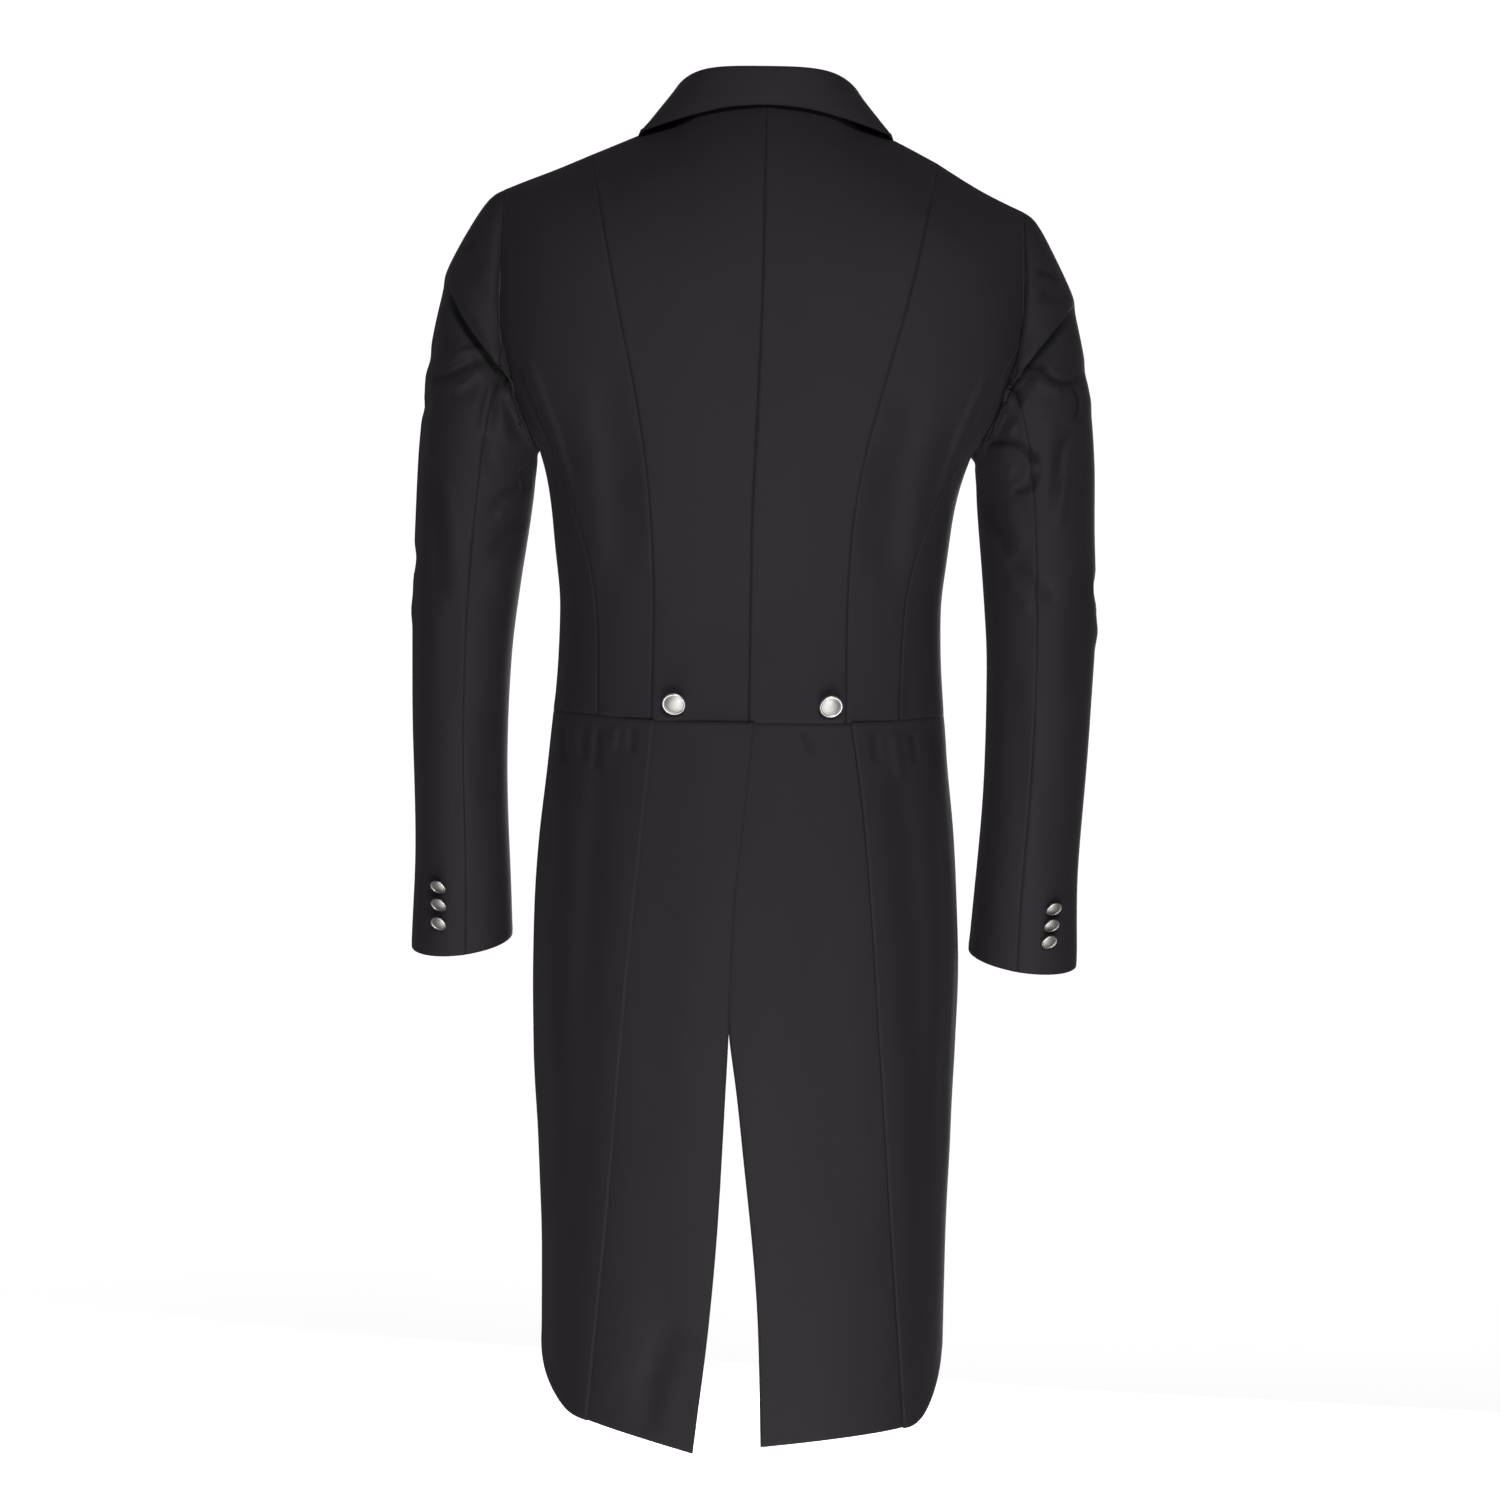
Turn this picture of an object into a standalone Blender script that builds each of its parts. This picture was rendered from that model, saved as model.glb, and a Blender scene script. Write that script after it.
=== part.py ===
"""A dressage tailcoat, filled out as it is worn, with nobody in it.

Metres. +Z is up, the front faces -Y and the wearer's left is +X. The origin lies
between the shoulder points, where the wearer carries the coat.

Every piece of cloth is a grid of points on the coat's form, given a wall inwards.
The body's form is read by angle: 0 at the centre back, 90 degrees at the side and
180 degrees at the centre front. An "own" x is measured outwards on each half.
"""

import math
from collections import namedtuple

import bmesh
import bpy
import numpy as np
from mathutils import Vector
from mathutils.kdtree import KDTree

LEFT, RIGHT = 1, -1
SIDE_NAME = {LEFT: "left", RIGHT: "right"}

# Driving sizes
WALL = 0.0016
SEAM_GAP = 0.0003
SHOULDER_POINT_X = 0.217
LONG_SEAM_TOP_X = 0.144
NECK_POINT_X = 0.078
SHOULDER_SEAM_Y = 0.004
NECK_BACK_Z = 0.078
UNDERARM_Z = -0.214
BACK_PITCH_Z = -0.112
FRONT_PITCH_Z = -0.120
FRONT_PITCH_X = 0.199
FRONT_SEAM_HEM_X = 0.142
BREAK_Z = -0.190
FRONT_OVERLAP = 0.018
SHOULDER_TILT = 0.006
SLEEVE_SWING = 0.011
RIGHT_SLEEVE_LONGER = 0.007

# The right sleeve is fuller from the elbow down, outside and inside its middle line.
RIGHT_SLEEVE_FULLER = (0.0040, 0.0026)
FULLER_TOP_Z = -0.260
FULLER_GROWS_OVER = 0.090

# Where one layer laps over another: how far it is lifted, how far from the middle the
# lift starts to fade, and over what length it is gone.
Lap = namedtuple("Lap", "lift fade_from fade_over")
FRONT_LAP = Lap(0.0034, 0.030, 0.035)
VENT_LAP = Lap(0.0026, 0.032, 0.040)
PLEAT_LAP = Lap(0.0026, 0.011, 0.022)
FRONT_LAP_TOP_Z = -0.100
FRONT_LAP_GROWS_OVER = 0.060
PLEAT_WIDTH = 0.009

# The raised edge of the pleat just below the waist seam, which flattens further down.
PLEAT_RIDGE = Lap(0.0022, 0.004, 0.008)
PLEAT_RIDGE_TOP_Z = -0.450
PLEAT_RIDGE_LENGTH = 0.250

# Rows and columns of the grids
UPPER_ROWS = 7
LOWER_ROWS = 9
UNDERARM_COLUMNS = 8
NECK_COLUMNS = 4
BODY_ROWS = UPPER_ROWS + LOWER_ROWS
TAIL_ROWS = 18
BACK_TAIL_COLUMNS = 6
SIDE_TAIL_SPREAD = (0.0, 0.05, 0.11, 0.19, 0.29, 0.40, 0.51, 0.62, 0.73, 0.83, 0.92, 1.0)
SOLVE_STEPS = 8

# Walls that meet at a seam share one direction, and split their rims the same way.
NEIGHBOUR_REACH = 0.0013
SHARED_WHEN_ALIKE = 0.45
RIM_ORDER = Vector((0.11, 0.37, 1.0))

# The body by height: half its width, how far the back and the front stand out from
# the side line, how square the section is (2 is an ellipse), and how far the coat
# leans to the wearer's left.
Level = namedtuple("Level", "height half_width back front square lean")
BODY = (
    Level(0.110, 0.2250, 0.090, 0.078, 2.7, -0.004),
    Level(0.000, 0.2270, 0.104, 0.096, 2.7, -0.003),
    Level(-0.050, 0.2275, 0.110, 0.105, 2.7, -0.003),
    Level(-0.112, 0.2260, 0.114, 0.114, 2.7, -0.002),
    Level(-0.150, 0.2190, 0.114, 0.119, 2.7, -0.001),
    Level(-0.183, 0.2032, 0.112, 0.122, 2.7, 0.000),
    Level(-0.199, 0.1893, 0.110, 0.123, 2.7, 0.001),
    Level(-0.214, 0.1805, 0.108, 0.123, 2.7, 0.001),
    Level(-0.237, 0.1740, 0.105, 0.122, 2.65, 0.002),
    Level(-0.271, 0.1680, 0.101, 0.118, 2.6, 0.003),
    Level(-0.304, 0.1645, 0.096, 0.112, 2.5, 0.003),
    Level(-0.338, 0.1605, 0.092, 0.106, 2.4, 0.003),
    Level(-0.371, 0.1610, 0.091, 0.103, 2.4, 0.003),
    Level(-0.405, 0.1625, 0.092, 0.103, 2.4, 0.003),
    Level(-0.440, 0.1655, 0.096, 0.105, 2.4, 0.003),
    Level(-0.506, 0.1710, 0.106, 0.107, 2.4, 0.003),
    Level(-0.573, 0.1755, 0.114, 0.109, 2.4, 0.003),
    Level(-0.640, 0.1775, 0.119, 0.110, 2.4, 0.002),
    Level(-0.707, 0.1755, 0.122, 0.111, 2.4, 0.002),
    Level(-0.775, 0.1735, 0.124, 0.111, 2.4, 0.001),
    Level(-0.909, 0.1690, 0.127, 0.111, 2.4, 0.000),
    Level(-1.040, 0.1680, 0.129, 0.111, 2.4, 0.000),
)

# The shoulder ridge by own x: its height, and the depth of the rounding below it.
Ridge = namedtuple("Ridge", "x height rounding")
SHOULDER = (
    Ridge(0.000, 0.098, 0.165),
    Ridge(0.050, 0.081, 0.155),
    Ridge(0.078, 0.066, 0.145),
    Ridge(0.105, 0.054, 0.130),
    Ridge(0.134, 0.041, 0.118),
    Ridge(0.155, 0.030, 0.108),
    Ridge(0.180, 0.017, 0.098),
    Ridge(0.217, 0.0005, 0.088),
    Ridge(0.250, -0.016, 0.080),
)

# The neckline at the back by own x.
Neck = namedtuple("Neck", "x height")
NECKLINE = (
    Neck(0.000, NECK_BACK_Z),
    Neck(0.028, 0.0765),
    Neck(0.052, 0.0725),
    Neck(0.070, 0.0680),
    Neck(NECK_POINT_X, 0.0660),
)

# The two curved back seams by height, as own x.
BackSeams = namedtuple("BackSeams", "height long_seam side_seam")
BACK_SEAMS = (
    BackSeams(0.040, 0.1450, 0.2200),
    BackSeams(0.018, 0.1415, 0.2200),
    BackSeams(-0.045, 0.1300, 0.2195),
    BackSeams(-0.112, 0.1155, 0.2175),
    BackSeams(-0.135, 0.1095, 0.2070),
    BackSeams(-0.171, 0.1010, 0.1880),
    BackSeams(-0.224, 0.0900, 0.1645),
    BackSeams(-0.273, 0.0835, 0.1450),
    BackSeams(-0.315, 0.0810, 0.1315),
    BackSeams(-0.345, 0.0800, 0.1270),
    BackSeams(-0.440, 0.0805, 0.1245),
)

# The waist seam and the fronts' lower edge by angle.
Waist = namedtuple("Waist", "angle height")
WAIST = (
    Waist(-10.0, -0.4390),
    Waist(20.0, -0.4385),
    Waist(50.0, -0.4335),
    Waist(90.0, -0.4300),
    Waist(125.0, -0.4360),
    Waist(190.0, -0.4560),
)

# The tails by height: the pleated seam and the vent edge of each side, as distance
# from the middle plane, and the angle of the front edge.
TailLine = namedtuple(
    "TailLine", "height pleat_left pleat_right vent_left vent_right front_edge"
)
TAIL = (
    TailLine(-0.439, 0.0805, 0.0810, -0.0020, -0.0240, 113.0),
    TailLine(-0.503, 0.0860, 0.0910, 0.0040, -0.0240, 111.0),
    TailLine(-0.585, 0.0930, 0.0990, 0.0115, -0.0220, 108.0),
    TailLine(-0.645, 0.0980, 0.1040, 0.0140, -0.0185, 105.5),
    TailLine(-0.694, 0.1015, 0.1075, 0.0150, -0.0150, 103.0),
    TailLine(-0.730, 0.1040, 0.1105, 0.0165, -0.0090, 101.5),
    TailLine(-0.796, 0.1080, 0.1155, 0.0190, -0.0010, 99.0),
    TailLine(-0.861, 0.1125, 0.1205, 0.0220, 0.0070, 96.0),
    TailLine(-0.927, 0.1180, 0.1260, 0.0270, 0.0130, 93.0),
    TailLine(-1.036, 0.1270, 0.1345, 0.0390, 0.0170, 88.0),
)

# The tails' lower edge on each side.
Hem = namedtuple("Hem", "vent_z pleat_z round_from round_z")
HEM = {
    LEFT: Hem(-1.0345, -1.0130, 50.0, -0.950),
    RIGHT: Hem(-1.0285, -1.0160, 52.0, -0.937),
}
HEM_ROUNDING = 1.6

# A sleeve from the armhole to the cuff: the inner and outer point of each ring, its
# depth to the back and to the front of them, the shift of that middle, the bow of the
# ring's plane at the back, and its slope. The fold below the cap hangs over the next ring.
Ring = namedtuple("Ring", "name inner_x inner_z outer_x outer_z back front middle bow slope")
SLEEVE = (
    Ring("armhole", 0.1805, -0.214, 0.217, -0.0005, 0.052, 0.064, 0.000, -0.020, 0.00),
    Ring("head", 0.1825, -0.2165, 0.2290, -0.0045, 0.059, 0.066, 0.000, -0.012, 0.00),
    Ring("cap", 0.1832, -0.2185, 0.2455, -0.0330, 0.064, 0.067, 0.000, -0.002, 0.00),
    Ring("cap_low", 0.1835, -0.2200, 0.2580, -0.0560, 0.067, 0.068, 0.000, 0.004, 0.00),
    Ring("fold_crest", 0.1830, -0.2225, 0.2660, -0.0735, 0.0690, 0.0680, 0.000, 0.008, 0.00),
    Ring("fold_under", 0.1835, -0.2265, 0.2650, -0.0800, 0.0630, 0.0645, 0.000, 0.006, 0.00),
    Ring("below_fold", 0.1842, -0.2340, 0.2705, -0.1030, 0.0618, 0.0630, 0.000, 0.004, 0.00),
    Ring("upper_arm", 0.1845, -0.2440, 0.2755, -0.1300, 0.0620, 0.0620, 0.000, 0.002, 0.00),
    Ring("upper_arm_2", 0.1853, -0.2570, 0.2800, -0.1620, 0.0620, 0.0610, 0.001, 0.000, 0.00),
    Ring("upper_arm_3", 0.1872, -0.2740, 0.2832, -0.1950, 0.0610, 0.0600, 0.002, 0.000, 0.00),
    Ring("upper_arm_4", 0.1906, -0.2950, 0.2850, -0.2300, 0.0595, 0.0590, 0.003, 0.000, 0.01),
    Ring("elbow_1", 0.1943, -0.3180, 0.2855, -0.2670, 0.0580, 0.0575, 0.004, 0.000, 0.02),
    Ring("elbow_2", 0.1978, -0.3430, 0.2862, -0.3040, 0.0565, 0.0560, 0.004, 0.000, 0.03),
    Ring("elbow_3", 0.2010, -0.3700, 0.2867, -0.3410, 0.0550, 0.0545, 0.003, 0.000, 0.05),
    Ring("forearm_1", 0.2027, -0.3990, 0.2867, -0.3790, 0.0535, 0.0525, 0.000, 0.000, 0.08),
    Ring("forearm_2", 0.2042, -0.4300, 0.2862, -0.4180, 0.0515, 0.0505, -0.005, 0.000, 0.11),
    Ring("forearm_3", 0.2047, -0.4620, 0.2855, -0.4570, 0.0495, 0.0485, -0.010, 0.000, 0.14),
    Ring("forearm_4", 0.2043, -0.4940, 0.2845, -0.4940, 0.0475, 0.0465, -0.016, 0.000, 0.16),
    Ring("forearm_5", 0.2035, -0.5260, 0.2833, -0.5290, 0.0455, 0.0445, -0.022, 0.000, 0.17),
    Ring("forearm_6", 0.2020, -0.5565, 0.2827, -0.5620, 0.0435, 0.0425, -0.028, 0.000, 0.20),
    Ring("cuff_top", 0.2003, -0.5870, 0.2842, -0.5950, 0.0415, 0.0410, -0.033, 0.000, 0.25),
    Ring("cuff_edge", 0.1990, -0.6195, 0.2860, -0.6305, 0.0405, 0.0400, -0.038, 0.000, 0.31),
)
BACK_SEAM_DEG = 97.0
FRONT_SEAM_DEG = (263.0, 245.0)
FRONT_SEAM_TURNED_BY = 9
ARMHOLE_SHARE = (1.0, 0.60, 0.30, 0.10, 0.03)
SLEEVE_SEAM_GAP = 0.00066

# Broad folds of the sleeves: where round the ring (0 outside, 90 at the back) and how far
# round they reach, the height there, how much that height drops for each degree further
# round, half the height, and how far the cloth stands out.
Fold = namedtuple("Fold", "side degrees reach height drop half_height rise")
SLEEVE_FOLDS = (
    Fold(LEFT, 95.0, 75.0, -0.150, 0.00060, 0.026, -0.0040),
    Fold(LEFT, 120.0, 80.0, -0.285, -0.00040, 0.036, -0.0045),
    Fold(LEFT, 60.0, 80.0, -0.350, 0.00030, 0.040, 0.0020),
    Fold(RIGHT, 95.0, 80.0, -0.140, 0.00050, 0.026, -0.0045),
    Fold(RIGHT, 80.0, 75.0, -0.215, 0.00040, 0.034, -0.0045),
    Fold(RIGHT, 105.0, 80.0, -0.315, -0.00050, 0.036, -0.0045),
    Fold(LEFT, 285.0, 85.0, -0.300, 0.00040, 0.040, -0.0050),
    Fold(RIGHT, 285.0, 85.0, -0.290, 0.00030, 0.042, -0.0050),
)

# The collar from the centre back to the gorge: the roll, and the fall's edge as own x
# and height, on the back (0) or the front (1), with its clearance over the body.
Turn = namedtuple("Turn", "neck_at roll_x roll_y roll_z edge_x edge_z front clearance")
COLLAR = (
    Turn(0.000, 0.000, 0.0500, 0.1062, 0.000, 0.0710, 0.0, 0.0036),
    Turn(0.026, 0.027, 0.0475, 0.1064, 0.025, 0.0700, 0.0, 0.0036),
    Turn(0.048, 0.050, 0.0385, 0.1056, 0.050, 0.0665, 0.0, 0.0030),
    Turn(0.066, 0.0665, 0.0225, 0.1012, 0.080, 0.0590, 0.0, 0.0022),
    Turn(0.078, 0.0755, 0.0010, 0.0945, 0.103, 0.0535, 0.0, 0.0020),
    Turn(0.110, 0.0775, -0.0250, 0.0780, 0.1120, 0.0400, 1.0, 0.0022),
    Turn(0.145, 0.0735, -0.0530, 0.0520, 0.1130, 0.0160, 1.0, 0.0024),
    Turn(0.180, 0.0660, -0.0770, 0.0210, 0.1060, -0.0120, 1.0, 0.0024),
)
ROLL_RADIUS = 0.0028
ROLL_TURNS = (180, 130, 90, 50, 0)
FALL_BELLY = 0.0018

# Lapel widths along the break line, from the gorge to the break point.
Lapel = namedtuple("Lapel", "along width")
LAPEL = (
    Lapel(0.00, 0.060),
    Lapel(0.12, 0.074),
    Lapel(0.35, 0.066),
    Lapel(0.60, 0.048),
    Lapel(0.80, 0.028),
    Lapel(0.93, 0.012),
    Lapel(1.00, 0.005),
)
LAPEL_COLUMNS = 5
LAPEL_ROWS = 10
GORGE_AT = 0.25
LAPEL_STARTS_BELOW = 0.004
LAPEL_ENDS = {LEFT: 0.885, RIGHT: 0.985}
LAPEL_CLEARANCE = 0.003
LAPEL_LIES_OFF = 0.0005
LAPEL_ROLL = 0.0026
LAPEL_DROP = 0.42
LAPEL_RISE_LOW = 0.25

# Broad folds that a step back still shows: own x and height of both ends, half the
# width, and how far the cloth stands out. They lie on the back of one side.
Crease = namedtuple("Crease", "side x0 z0 x1 z1 half_width rise")
CREASES = (
    Crease(LEFT, 0.118, -0.170, 0.104, -0.330, 0.020, -0.0035),
    Crease(RIGHT, 0.122, -0.170, 0.104, -0.320, 0.022, -0.0045),
    Crease(LEFT, 0.062, -0.900, 0.080, -1.030, 0.018, -0.0030),
    Crease(RIGHT, 0.150, -0.520, 0.152, -0.900, 0.014, -0.0030),
    Crease(LEFT, 0.152, -0.520, 0.152, -0.900, 0.014, -0.0030),
)

# Buttons
Button = namedtuple("Button", "radius dome rim shank stem segments")
WAIST_BUTTON = Button(0.0100, 0.0036, 0.0009, 0.0078, 0.0024, 16)
CUFF_BUTTON = Button(0.0070, 0.0028, 0.0007, 0.0052, 0.0018, 12)
FRONT_BUTTON = Button(0.0100, 0.0036, 0.0009, 0.0030, 0.0024, 16)
WAIST_BUTTON_X = 0.063
WAIST_BUTTON_Z = -0.4205
WAIST_BUTTON_DROOP = 34.0
Spot = namedtuple("Spot", "x z")
CUFF_BUTTONS = {
    LEFT: (Spot(0.2580, -0.576), Spot(0.2575, -0.591), Spot(0.2575, -0.607)),
    RIGHT: (Spot(0.2530, -0.586), Spot(0.2515, -0.600), Spot(0.2498, -0.614)),
}
CUFF_BUTTON_DROOP = 33.0
FRONT_BUTTON_X = 0.0
FRONT_BUTTON_Z = (-0.205, -0.295, -0.385)

CLOTH_COLOUR = (0.024, 0.022, 0.025)
METAL_COLOUR = (0.33, 0.32, 0.31)


def smooth(t):
    """0 below 0, 1 above 1, and an eased slope between."""
    t = min(max(t, 0.0), 1.0)
    return t * t * (3.0 - 2.0 * t)


def mix(a, b, t):
    return a + (b - a) * t


def reader(rows, key):
    """A function that reads one column of a table, on a curve without overshoot."""
    pairs = sorted((getattr(row, key), row) for row in rows)
    at = np.array([pair[0] for pair in pairs])
    steps = np.diff(at)
    curves = {}
    for column in rows[0]._fields:
        if column in (key, "name"):
            continue
        value = np.array([getattr(pair[1], column) for pair in pairs])
        rise = np.diff(value) / steps
        slope = np.empty(len(at))
        slope[0], slope[-1] = rise[0], rise[-1]
        for i in range(1, len(at) - 1):
            same_way = rise[i - 1] * rise[i] > 0
            near, far = 2 * steps[i] + steps[i - 1], steps[i] + 2 * steps[i - 1]
            slope[i] = (near + far) / (near / rise[i - 1] + far / rise[i]) if same_way else 0.0
        curves[column] = (value, slope)

    def read(column, where):
        value, slope = curves[column]
        where = min(max(where, at[0]), at[-1])
        i = min(int(np.searchsorted(at, where, side="right")) - 1, len(steps) - 1)
        h = steps[i]
        t = (where - at[i]) / h
        return (
            value[i] * (1 + 2 * t) * (1 - t) ** 2
            + slope[i] * h * t * (1 - t) ** 2
            + value[i + 1] * t * t * (3 - 2 * t)
            + slope[i + 1] * h * t * t * (t - 1)
        )

    return read


body = reader(BODY, "height")
ridge = reader(SHOULDER, "x")
neckline = reader(NECKLINE, "x")
back_seams = reader(BACK_SEAMS, "height")
waist = reader(WAIST, "angle")
tail_line = reader(TAIL, "height")
lapel_table = reader(LAPEL, "along")
collar_table = reader(COLLAR, "neck_at")


# ---------------------------------------------------------------- the body's form


def own_x_of(degrees, z):
    """How far out the body's section lies at an angle and a height."""
    sine = math.sin(math.radians(degrees))
    reach = abs(sine) ** (2.0 / body("square", z))
    return math.copysign(body("half_width", z) * reach, sine)


def depth_of(degrees, z):
    """How far behind (or in front of) the side line it lies there."""
    cosine = math.cos(math.radians(degrees))
    reach = abs(cosine) ** (2.0 / body("square", z))
    return math.copysign(body("back" if cosine > 0 else "front", z) * reach, cosine)


def angle_of(own_x, z):
    """The angle on the back at which the body is this wide."""
    share = min(abs(own_x) / body("half_width", z), 1.0) ** (body("square", z) / 2.0)
    return math.degrees(math.copysign(math.asin(share), own_x))


def tilt(x):
    """The left shoulder is carried a little higher than the right one."""
    return math.copysign(SHOULDER_TILT * smooth((abs(x) - 0.11) / 0.10), x)


def posed(x, y, z, side):
    """A point of one half, given as own x, in the coat's own frame."""
    lean = body("lean", z)
    held = 1.0 - smooth((x - 0.178) / 0.03) if z < UNDERARM_Z else 1.0
    world_x = side * x + lean * held
    fade = smooth((z - UNDERARM_Z) / 0.13)
    return Vector((world_x, y, z + tilt(world_x) * fade))


def on_body(side, degrees, z):
    """The point of the coat's form at an angle and a height."""
    x = own_x_of(degrees, z)
    below = ridge("height", abs(x)) - z
    share = 1.0 - min(max(below / ridge("rounding", abs(x)), 0.0), 1.0)
    out = math.sqrt(1.0 - share * share)
    depth = depth_of(degrees, z)
    half_gap = math.copysign(SEAM_GAP / 2, 90.0 - degrees)
    y = mix(SHOULDER_SEAM_Y + half_gap, depth, out)
    y += crease_rise(side, x, z) if degrees < 90.0 else 0.0
    return posed(x, y, z, side)


def crease_rise(side, x, z):
    """How far the broad folds move the back at a place."""
    total = 0.0
    for crease in CREASES:
        if crease.side != side:
            continue
        along = Vector((crease.x1 - crease.x0, crease.z1 - crease.z0))
        offset = Vector((x - crease.x0, z - crease.z0))
        t = offset.dot(along) / along.length_squared
        if not 0.0 < t < 1.0:
            continue
        across = abs(offset.x * along.y - offset.y * along.x) / along.length
        ends = smooth(t / 0.3) * smooth((1.0 - t) / 0.3)
        total += crease.rise * ends * (1.0 - smooth(across / crease.half_width))
    return total


def outward(side, degrees, z):
    """The direction that leaves the body at a place."""
    step = 0.5
    across = on_body(side, degrees + step, z) - on_body(side, degrees - step, z)
    down = on_body(side, degrees, z - 0.001) - on_body(side, degrees, z + 0.001)
    return across.cross(down).normalized() * side


def lifted(side, degrees, z, lift):
    point = on_body(side, degrees, z)
    return point + outward(side, degrees, z) * lift if lift else point


def lap_lift(lap, distance):
    """How far a lapped layer is lifted at a distance from the place it laps over."""
    return lap.lift * (1.0 - smooth((distance - lap.fade_from) / lap.fade_over))


def front_lift(own_x, z):
    grown = smooth((FRONT_LAP_TOP_Z - z) / FRONT_LAP_GROWS_OVER)
    return lap_lift(FRONT_LAP, own_x) * grown


def beside(side, degrees, z, length):
    """The angle that lies this length further round the body, at the same height."""
    start = on_body(side, degrees, z)
    near, far = 0.0, math.copysign(5.0, length)
    for _ in range(24):
        middle = (near + far) / 2
        if (on_body(side, degrees + middle, z) - start).length < abs(length):
            near = middle
        else:
            far = middle
    return degrees + middle


# ---------------------------------------------------------------- seam lines


def ridge_z(own_x):
    return ridge("height", own_x)


def shoulder_angle(own_x, front):
    angle = angle_of(own_x, ridge_z(own_x))
    return 180.0 - angle if front else angle


def even(first, last, count):
    return [mix(first, last, i / count) for i in range(count + 1)]


SIDE_BACK_TOP = even(LONG_SEAM_TOP_X, SHOULDER_POINT_X, 4)
BACK_TOP = even(0.0, NECK_POINT_X, NECK_COLUMNS) + even(NECK_POINT_X, LONG_SEAM_TOP_X, 2)[1:]


def centre_back_line():
    return [(0.0, z) for z in even(NECK_BACK_Z, waist("height", 0.0), BODY_ROWS)]


def waist_z(own_x, front=False):
    """Height of the waist seam at an own x of the back, or of the front."""
    z = WAIST[0].height
    for _ in range(6):
        angle = angle_of(own_x, z)
        z = waist("height", 180.0 - angle if front else angle)
    return z


def long_seam_line():
    rows = even(ridge_z(LONG_SEAM_TOP_X), waist_z(BACK_SEAMS[-1].long_seam), BODY_ROWS)
    return [(angle_of(back_seams("long_seam", z), z), z) for z in rows]


def armhole_upper(front):
    """From the shoulder point down to the pitch point, closer together at the top."""
    top = ridge_z(SHOULDER_POINT_X)
    low = FRONT_PITCH_Z if front else BACK_PITCH_Z
    line = []
    for i in range(UPPER_ROWS + 1):
        share = 1.0 - math.cos(math.pi / 2 * i / UPPER_ROWS)
        z = mix(top, low, share)
        pitch_x = FRONT_PITCH_X if front else back_seams("side_seam", BACK_PITCH_Z)
        degrees = angle_of(mix(SHOULDER_POINT_X, pitch_x, smooth(share)), z)
        if front:
            degrees = 180.0 - degrees
        line.append((degrees, z))
    return line


def armhole_lower():
    """Under the arm, from the back pitch to the front pitch, a rounded scoop."""
    line = []
    for i in range(UNDERARM_COLUMNS + 1):
        turn = math.pi * i / UNDERARM_COLUMNS
        back_half = turn < math.pi / 2
        reach = abs(math.cos(turn)) ** (2 / 2.2)
        edge = armhole_upper(not back_half)[-1][0]
        pitch = BACK_PITCH_Z if back_half else FRONT_PITCH_Z
        drop = math.sin(turn) ** (2 / 2.2)
        line.append((mix(90.0, edge, reach), mix(pitch, UNDERARM_Z, drop)))
    return line


def side_seam_line():
    rows = even(BACK_PITCH_Z, waist_z(BACK_SEAMS[-1].side_seam), LOWER_ROWS)
    return [(angle_of(back_seams("side_seam", z), z), z) for z in rows]


def front_seam_line():
    rows = even(FRONT_PITCH_Z, waist_z(FRONT_SEAM_HEM_X, True), LOWER_ROWS)
    first = 180.0 - angle_of(FRONT_PITCH_X, rows[0])
    last = 180.0 - angle_of(FRONT_SEAM_HEM_X, rows[-1])
    return [(mix(first, last, smooth(i / LOWER_ROWS)), z) for i, z in enumerate(rows)]


def break_point(t):
    """Own x and height along the break line, from the neck point to the break."""
    return mix(NECK_POINT_X, -FRONT_OVERLAP, t), mix(ridge_z(NECK_POINT_X), BREAK_Z, t)


def front_edge_line():
    """Down the break line to the break point, then down the closed edge to the hem."""
    half = BODY_ROWS // 2
    line = []
    for i in range(half + 1):
        x, z = break_point(i / half)
        line.append((180.0 - angle_of(x, z), z))
    for z in even(BREAK_Z, waist_z(-FRONT_OVERLAP, True), half)[1:]:
        line.append((180.0 - angle_of(-FRONT_OVERLAP, z), z))
    return line


# ---------------------------------------------------------------- panels of cloth

cloth_grids = {}


def between(first, last, fractions_top, top_of=None, low_of=None):
    """Angles and heights of a panel between two seam lines, row by row."""
    rows = len(first) - 1
    columns = len(fractions_top) - 1
    grid = []
    for r, (start, end) in enumerate(zip(first, last)):
        v = r / rows
        line = []
        for c, top_fraction in enumerate(fractions_top):
            u = mix(top_fraction, c / columns, smooth(v * 1.6))
            degrees = mix(start[0], end[0], u)
            z = mix(start[1], end[1], u)
            if top_of:
                top_degrees = mix(first[0][0], last[0][0], top_fraction)
                top_z = mix(first[0][1], last[0][1], top_fraction)
                z += (top_of(top_degrees) - top_z) * (1.0 - v) ** 2
            if low_of:
                low_degrees = mix(first[-1][0], last[-1][0], c / columns)
                low_z = mix(first[-1][1], last[-1][1], c / columns)
                z += (low_of(low_degrees) - low_z) * v * v
            line.append((degrees, z))
        grid.append(line)
    return grid


def spaced(side, grid, gap_first=True, gap_last=True, gap_low=True):
    """Draws a panel's edges back by half the seam gap."""
    result = []
    for r, line in enumerate(grid):
        line = list(line)
        if gap_first:
            degrees, z = line[0]
            line[0] = (beside(side, degrees, z, SEAM_GAP / 2), z)
        if gap_last:
            degrees, z = line[-1]
            line[-1] = (beside(side, degrees, z, -SEAM_GAP / 2), z)
        if gap_low and r == len(grid) - 1:
            line = [(degrees, z + SEAM_GAP / 2) for degrees, z in line]
        result.append(line)
    return result


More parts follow.
